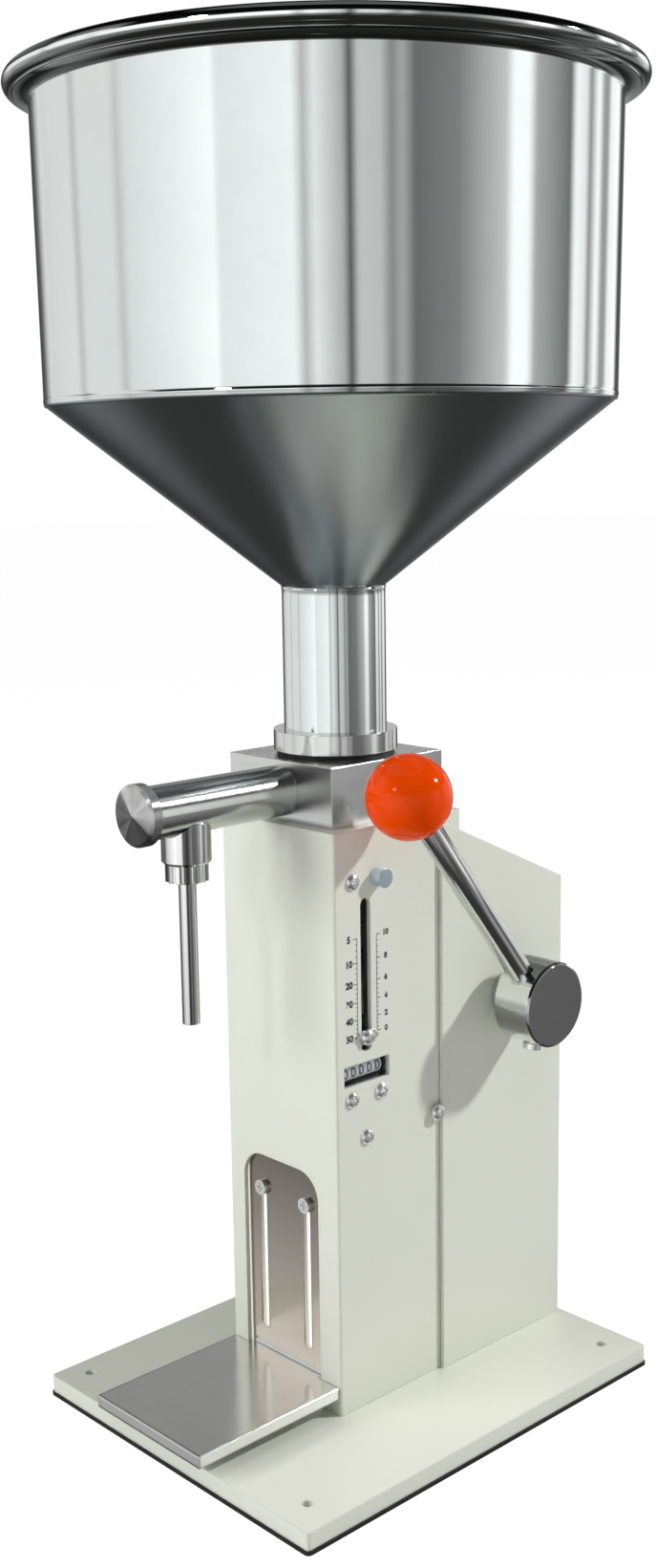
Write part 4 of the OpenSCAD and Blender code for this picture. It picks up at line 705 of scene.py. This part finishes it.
def coil(radius, wire, length, turns):
    """A spring's wire as one round tube from height 0 to length: its centre line climbs evenly
    round a circle, and each point is that centre plus the wire's radius, partly outwards and
    partly upwards. Both ends are capped."""
    around, sides = 48, 12
    rings = around * turns + 1
    share = np.linspace(0, 1, rings)[:, None]
    angle = 2 * math.pi * turns * share
    side = np.linspace(0, 2 * math.pi, sides, endpoint=False)
    out = radius + wire * np.cos(side)
    climb = wire + (length - 2 * wire) * share + wire * np.sin(side)
    points = np.stack((out * np.cos(angle), out * np.sin(angle), climb), -1).reshape(-1, 3)
    rows, columns = np.meshgrid(np.arange(rings - 1), np.arange(sides), indexing="ij")
    beside = (columns + 1) % sides
    faces = np.stack((rows * sides + columns, (rows + 1) * sides + columns,
                      (rows + 1) * sides + beside, rows * sides + beside), -1)
    caps = [list(range(sides)), list(range(rings * sides - 1, (rings - 1) * sides - 1, -1))]
    return points, faces.reshape(-1, 4).tolist() + caps


def springs():
    """Both valve springs, which shorten as their valve lifts off its seat; this script draws each
    at one length and gives it a mesh of its own. The first stands upright, the second lies along
    the tube."""
    points, faces = coil(radius=0.0074, wire=0.0004, length=0.011, turns=4)
    piece = add_piece("inlet_coil", points + (PUMP_X, PUMP_Y, 0.3368), faces, made["dark"],
                      "machine")
    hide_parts("inlet_spring")
    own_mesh(piece)
    points, faces = coil(radius=0.0066, wire=0.00055, length=0.0317, turns=9)
    laid = np.stack((PUMP_X + points[:, 0], -0.08615 - points[:, 2], TUBE_Z + points[:, 1]), -1)
    piece = add_piece("discharge_coil", laid, faces, made["dark"], "machine")
    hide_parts("discharge_spring")
    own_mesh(piece)


springs()


BOLDER = 0.05   # the figures are fatter than the font's by this share of their size


def lettering(name, words, body, key="ink", wrap=None):
    """Plain figures as flat meshes on the column's side, which faces +X. Each word is
    (text, y, z, size), centred there. Wrap, if given as (axis x, axis z, radius), bends them
    round a wheel: a point at height h goes to the angle h / radius."""
    points, faces = [], []
    for text, y, z, size in words:
        curve = bpy.data.curves.new(name, "FONT")
        curve.body, curve.size, curve.align_x, curve.align_y = text, size, "CENTER", "CENTER"
        curve.offset = size * BOLDER
        holder = bpy.data.objects.new(name, curve)
        scene.collection.objects.link(holder)
        bpy.context.view_layer.update()
        flat = holder.to_mesh()
        local = np.zeros(len(flat.vertices) * 3)
        flat.vertices.foreach_get("co", local)
        local = local.reshape(-1, 3)
        start = sum(len(p) for p in points)
        points.append(np.stack((0 * local[:, 0], y + local[:, 0], z + local[:, 1]), -1))
        faces += [tuple(v + start for v in polygon.vertices) for polygon in flat.polygons]
        holder.to_mesh_clear()
        bpy.data.objects.remove(holder)
        bpy.data.curves.remove(curve)
    points = np.concatenate(points)
    if wrap:
        axis_x, axis_z, radius = wrap
        angle = (points[:, 2] - axis_z) / radius
        points[:, 0] = axis_x + radius * np.cos(angle)
        points[:, 2] = axis_z + radius * np.sin(angle)
    else:
        points[:, 0] = COLUMN_SIDE + PRINT
    add_piece(name, points, faces, made[key], body, smooth=False)


# The scale's two columns: where the line and the figures' centres stand along Y, and the heights
# of the figures from the top down.
LEFT_LINE, LEFT_FIGURES_Y = -0.0314, -0.0372
RIGHT_LINE, RIGHT_FIGURES_Y = -0.0173, -0.0107
LEFT_LEVELS = mm(271.2, 258.2, 247.1, 237.0, 227.8, 218.5)
RIGHT_LEVELS = mm(270.9, 258.4, 246.8, 236.7, 227.4, 219.1)


def rulings():
    """Thin printed lines of the scale on the column's side: two upright lines beside the slot,
    with a long tick at each figure and short ticks between."""
    x = COLUMN_SIDE + PRINT
    line_half, long_tick, long_half, short_tick, short_half = mm(0.2, 2.6, 0.22, 1.3, 0.16)
    boxes = []

    def stroke(y0, y1, z0, z1):
        boxes.append([(x, y0, z0), (x, y1, z0), (x, y1, z1), (x, y0, z1)])

    def tick(line, reach, z, half):
        stroke(*sorted((line, line + reach)), z - half, z + half)

    for line, side, levels in ((RIGHT_LINE, 1, RIGHT_LEVELS), (LEFT_LINE, -1, LEFT_LEVELS)):
        stroke(line - line_half, line + line_half, levels[-1], levels[0])
        for i, z in enumerate(levels):
            tick(line, side * long_tick, z, long_half)
            if i:
                for part in (0.25, 0.5, 0.75):
                    tick(line, side * short_tick, z + (levels[i - 1] - z) * part, short_half)
    points = np.array(boxes).reshape(-1, 3)
    faces = np.arange(len(points)).reshape(-1, 4)
    add_piece("scale_lines", points, faces, made["ink"], "machine",
              smooth=False)


rulings()
lettering("scale_figures",
          [(text, LEFT_FIGURES_Y, z, 0.0049)
           for text, z in zip(("5", "10", "20", "30", "40", "50"), LEFT_LEVELS)]
          + [(text, RIGHT_FIGURES_Y, z, 0.0042)
             for text, z in zip(("10", "8", "6", "4", "2", "0"), RIGHT_LEVELS)],
          "machine")
WHEELS = 5
wheels_low, wheels_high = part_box("counter_wheels")
wheel_axis = (wheels_low + wheels_high) / 2
wheel_pitch = (wheels_high.y - wheels_low.y) / WHEELS
lettering("counter_figures",
          [("0", wheels_low.y + wheel_pitch * (i + 0.5), wheel_axis.z, 0.0075)
           for i in range(WHEELS)],
          "counter_drums", key="figures",
          wrap=(wheel_axis.x, wheel_axis.z, (wheels_high.z - wheels_low.z) / 2 + PRINT))


# ---------------------------------------------------------------- studio
# Strips of light and dark round the object, as (azimuth in degrees from +X, level). A ramp
# holds 32 stops, so there are two, which meet at one azimuth.
STRIPS_MEET = 60
FRONT_STRIPS = (
    (-180, 0.8), (-172, 0.85), (-158, 0.9), (-154, 0.65), (-150, 0.9), (-132, 0.9),
    (-128, 0.7), (-124, 0.9), (-100, 1.1), (-86, 1.25), (-84, 1.0), (-56, 1.15), (-52, 0.6),
    (-48, 1.0), (-38, 0.55), (-35, 0.1), (-32, 0.7), (-24, 0.65), (-20, 0.3), (-16, 0.5),
    (-11, 0.18), (6, 0.27), (26, 0.7), (30, 1.3), (37, 1.25), (41, 0.5), (STRIPS_MEET, 0.2))
BACK_STRIPS = (
    (STRIPS_MEET, 0.2), (64, 1.2), (71, 1.0), (74, 0.3), (81, 1.3), (86, 0.4), (90, 0.4),
    (94, 1.1), (104, 1.2), (110, 0.08), (118, 0.1), (130, 0.6), (144, 0.5), (154, 0.04),
    (164, 0.15), (174, 0.8))
CEILING, CEILING_BEHIND = (0.015, 0.015, 0.015, 1), (0.36, 0.36, 0.355, 1)
PANEL, OVERHEAD, GROUND = (0.9, 0.89, 0.87, 1), (0.75, 0.75, 0.74, 1), (0.045, 0.044, 0.041, 1)
WHITE = (1, 1, 1, 1)
FILL_LEVEL = 0.20


def studio_colors(t):
    """The studio by direction: the strips in the middle zone, above them a dark ceiling with a
    grey part behind the object, a panel and an overhead light, and below them weaker strips
    that end in a dark ground. The zones end at heights z of a unit direction."""
    x, y, z = t.split(t.add("ShaderNodeTexCoord").outputs["Generated"])
    turn = t.turn(x, y)
    strips = t.mix(t.math("GREATER_THAN", turn, (STRIPS_MEET + 180) / 360),
                   level_ramp(t, turn, round_stops(FRONT_STRIPS)),
                   level_ramp(t, turn, round_stops(BACK_STRIPS)))
    front = t.ranged(turn, 0.44, 0.52, 1.0, 0.0)
    away = t.weighted((x, -0.73), (y, 0.68))
    behind = t.math("MULTIPLY", t.fade(away, 0.3, 0.55), t.ranged(z, 0.52, 0.6, 1.0, 0.0))
    behind = t.math("MULTIPLY", behind, t.fade(z, 0.28, 0.36))
    top = t.mix(t.fade(z, 0.215, 0.28), strips, t.mix(behind, CEILING, CEILING_BEHIND))
    towards_panel = t.weighted((x, -0.656), (y, -0.611), (z, 0.445))
    top = t.mix(t.fade(towards_panel, 0.945, 0.972), top, PANEL)
    top = t.mix(t.fade(z, 0.90, 0.94), top, OVERHEAD)
    low_strips = t.scaled(strips, t.ranged(front, 0.0, 1.0, 0.35, 0.55))
    bottom = t.mix(t.fade(z, -0.5, -0.72), low_strips, GROUND)
    below = t.mix(front, t.fade(z, -0.06, -0.26), t.fade(z, -0.2, -0.34))
    return t.mix(below, top, bottom)


def make_world():
    """A white backdrop for the camera, a plain fill for diffuse light, and the studio for
    reflections alone."""
    world = bpy.data.worlds.new("studio")
    world.use_nodes = True
    scene.world = world
    t = Tree(world.node_tree)
    t.tree.nodes.clear()
    path = t.add("ShaderNodeLightPath").outputs
    fill = t.fed(t.add("ShaderNodeBackground"), WHITE, FILL_LEVEL)
    mirrored = t.fed(t.add("ShaderNodeBackground"), studio_colors(t))
    backdrop = t.fed(t.add("ShaderNodeBackground"), WHITE)
    lit = t.fed(t.add("ShaderNodeMixShader"), path["Is Glossy Ray"], fill, mirrored)
    seen = t.math("MAXIMUM", path["Is Camera Ray"], path["Is Transmission Ray"])
    t.feed(t.add("ShaderNodeOutputWorld").inputs[0],
           t.fed(t.add("ShaderNodeMixShader"), seen, lit, backdrop))


def make_floor():
    """A plain pale floor that the camera sees nearly white, with the object's soft shadow. It
    lies a little below the mat, so that the two don't coincide."""
    half, drop = 12.0, 0.0002
    glow_share, glow_level = 0.86, 1.12
    mesh = bpy.data.meshes.new("floor")
    corners = [(-half, -half, 0), (half, -half, 0), (half, half, 0), (-half, half, 0)]
    mesh.from_pydata(corners, [], [(0, 1, 2, 3)])
    floor = bpy.data.objects.new("floor", mesh)
    floor.location.z = -drop
    scene.collection.objects.link(floor)
    material = bpy.data.materials.new("floor")
    material.use_nodes = True
    t = Tree(material.node_tree)
    shader = material.node_tree.nodes["Principled BSDF"]
    shader.inputs["Base Color"].default_value = (0.8, 0.8, 0.8, 1)
    shader.inputs["Roughness"].default_value = 0.9
    glow = t.add("ShaderNodeEmission")
    glow.inputs[1].default_value = glow_level
    seen = t.math("MULTIPLY", t.add("ShaderNodeLightPath").outputs["Is Camera Ray"], glow_share)
    mixed = t.fed(t.add("ShaderNodeMixShader"), seen, shader.outputs[0], glow.outputs[0])
    t.feed(material.node_tree.nodes["Material Output"].inputs[0], mixed)
    mesh.materials.append(material)
    floor.visible_glossy = False


def area_lamp(name, towards, distance, size, level, aim=(0, 0, 0.3), glossy=True):
    """A soft lamp. Level is the brightness that it gives a white surface facing it."""
    data = bpy.data.lights.new(name, "AREA")
    data.shape = "DISK"
    data.size = size
    data.energy = level * math.pi ** 2 * distance ** 2
    lamp = bpy.data.objects.new(name, data)
    direction = Vector(towards).normalized()
    lamp.location = Vector(aim) + direction * distance
    lamp.rotation_mode = "QUATERNION"
    lamp.rotation_quaternion = direction.to_track_quat("Z", "Y")
    lamp.visible_glossy = glossy
    scene.collection.objects.link(lamp)


KNOB_CENTRE = (0.066, -0.018, 0.346)
make_world()
make_floor()
area_lamp("key_lamp", (1.0, 1.2, 0.94), 2.4, size=0.16, level=0.70)
area_lamp("front_lamp", (-0.35, -0.9, 0.3), 2.2, size=1.2, level=0.57, glossy=False)
area_lamp("window_lamp", (0.05, -0.89, 0.46), 2.2, size=0.22, level=0.08, aim=KNOB_CENTRE)
area_lamp("ceiling_lamp", (0.3, -0.4, 1.0), 2.2, size=2.0, level=0.17, glossy=False)
scene.view_settings.view_transform = "Standard"
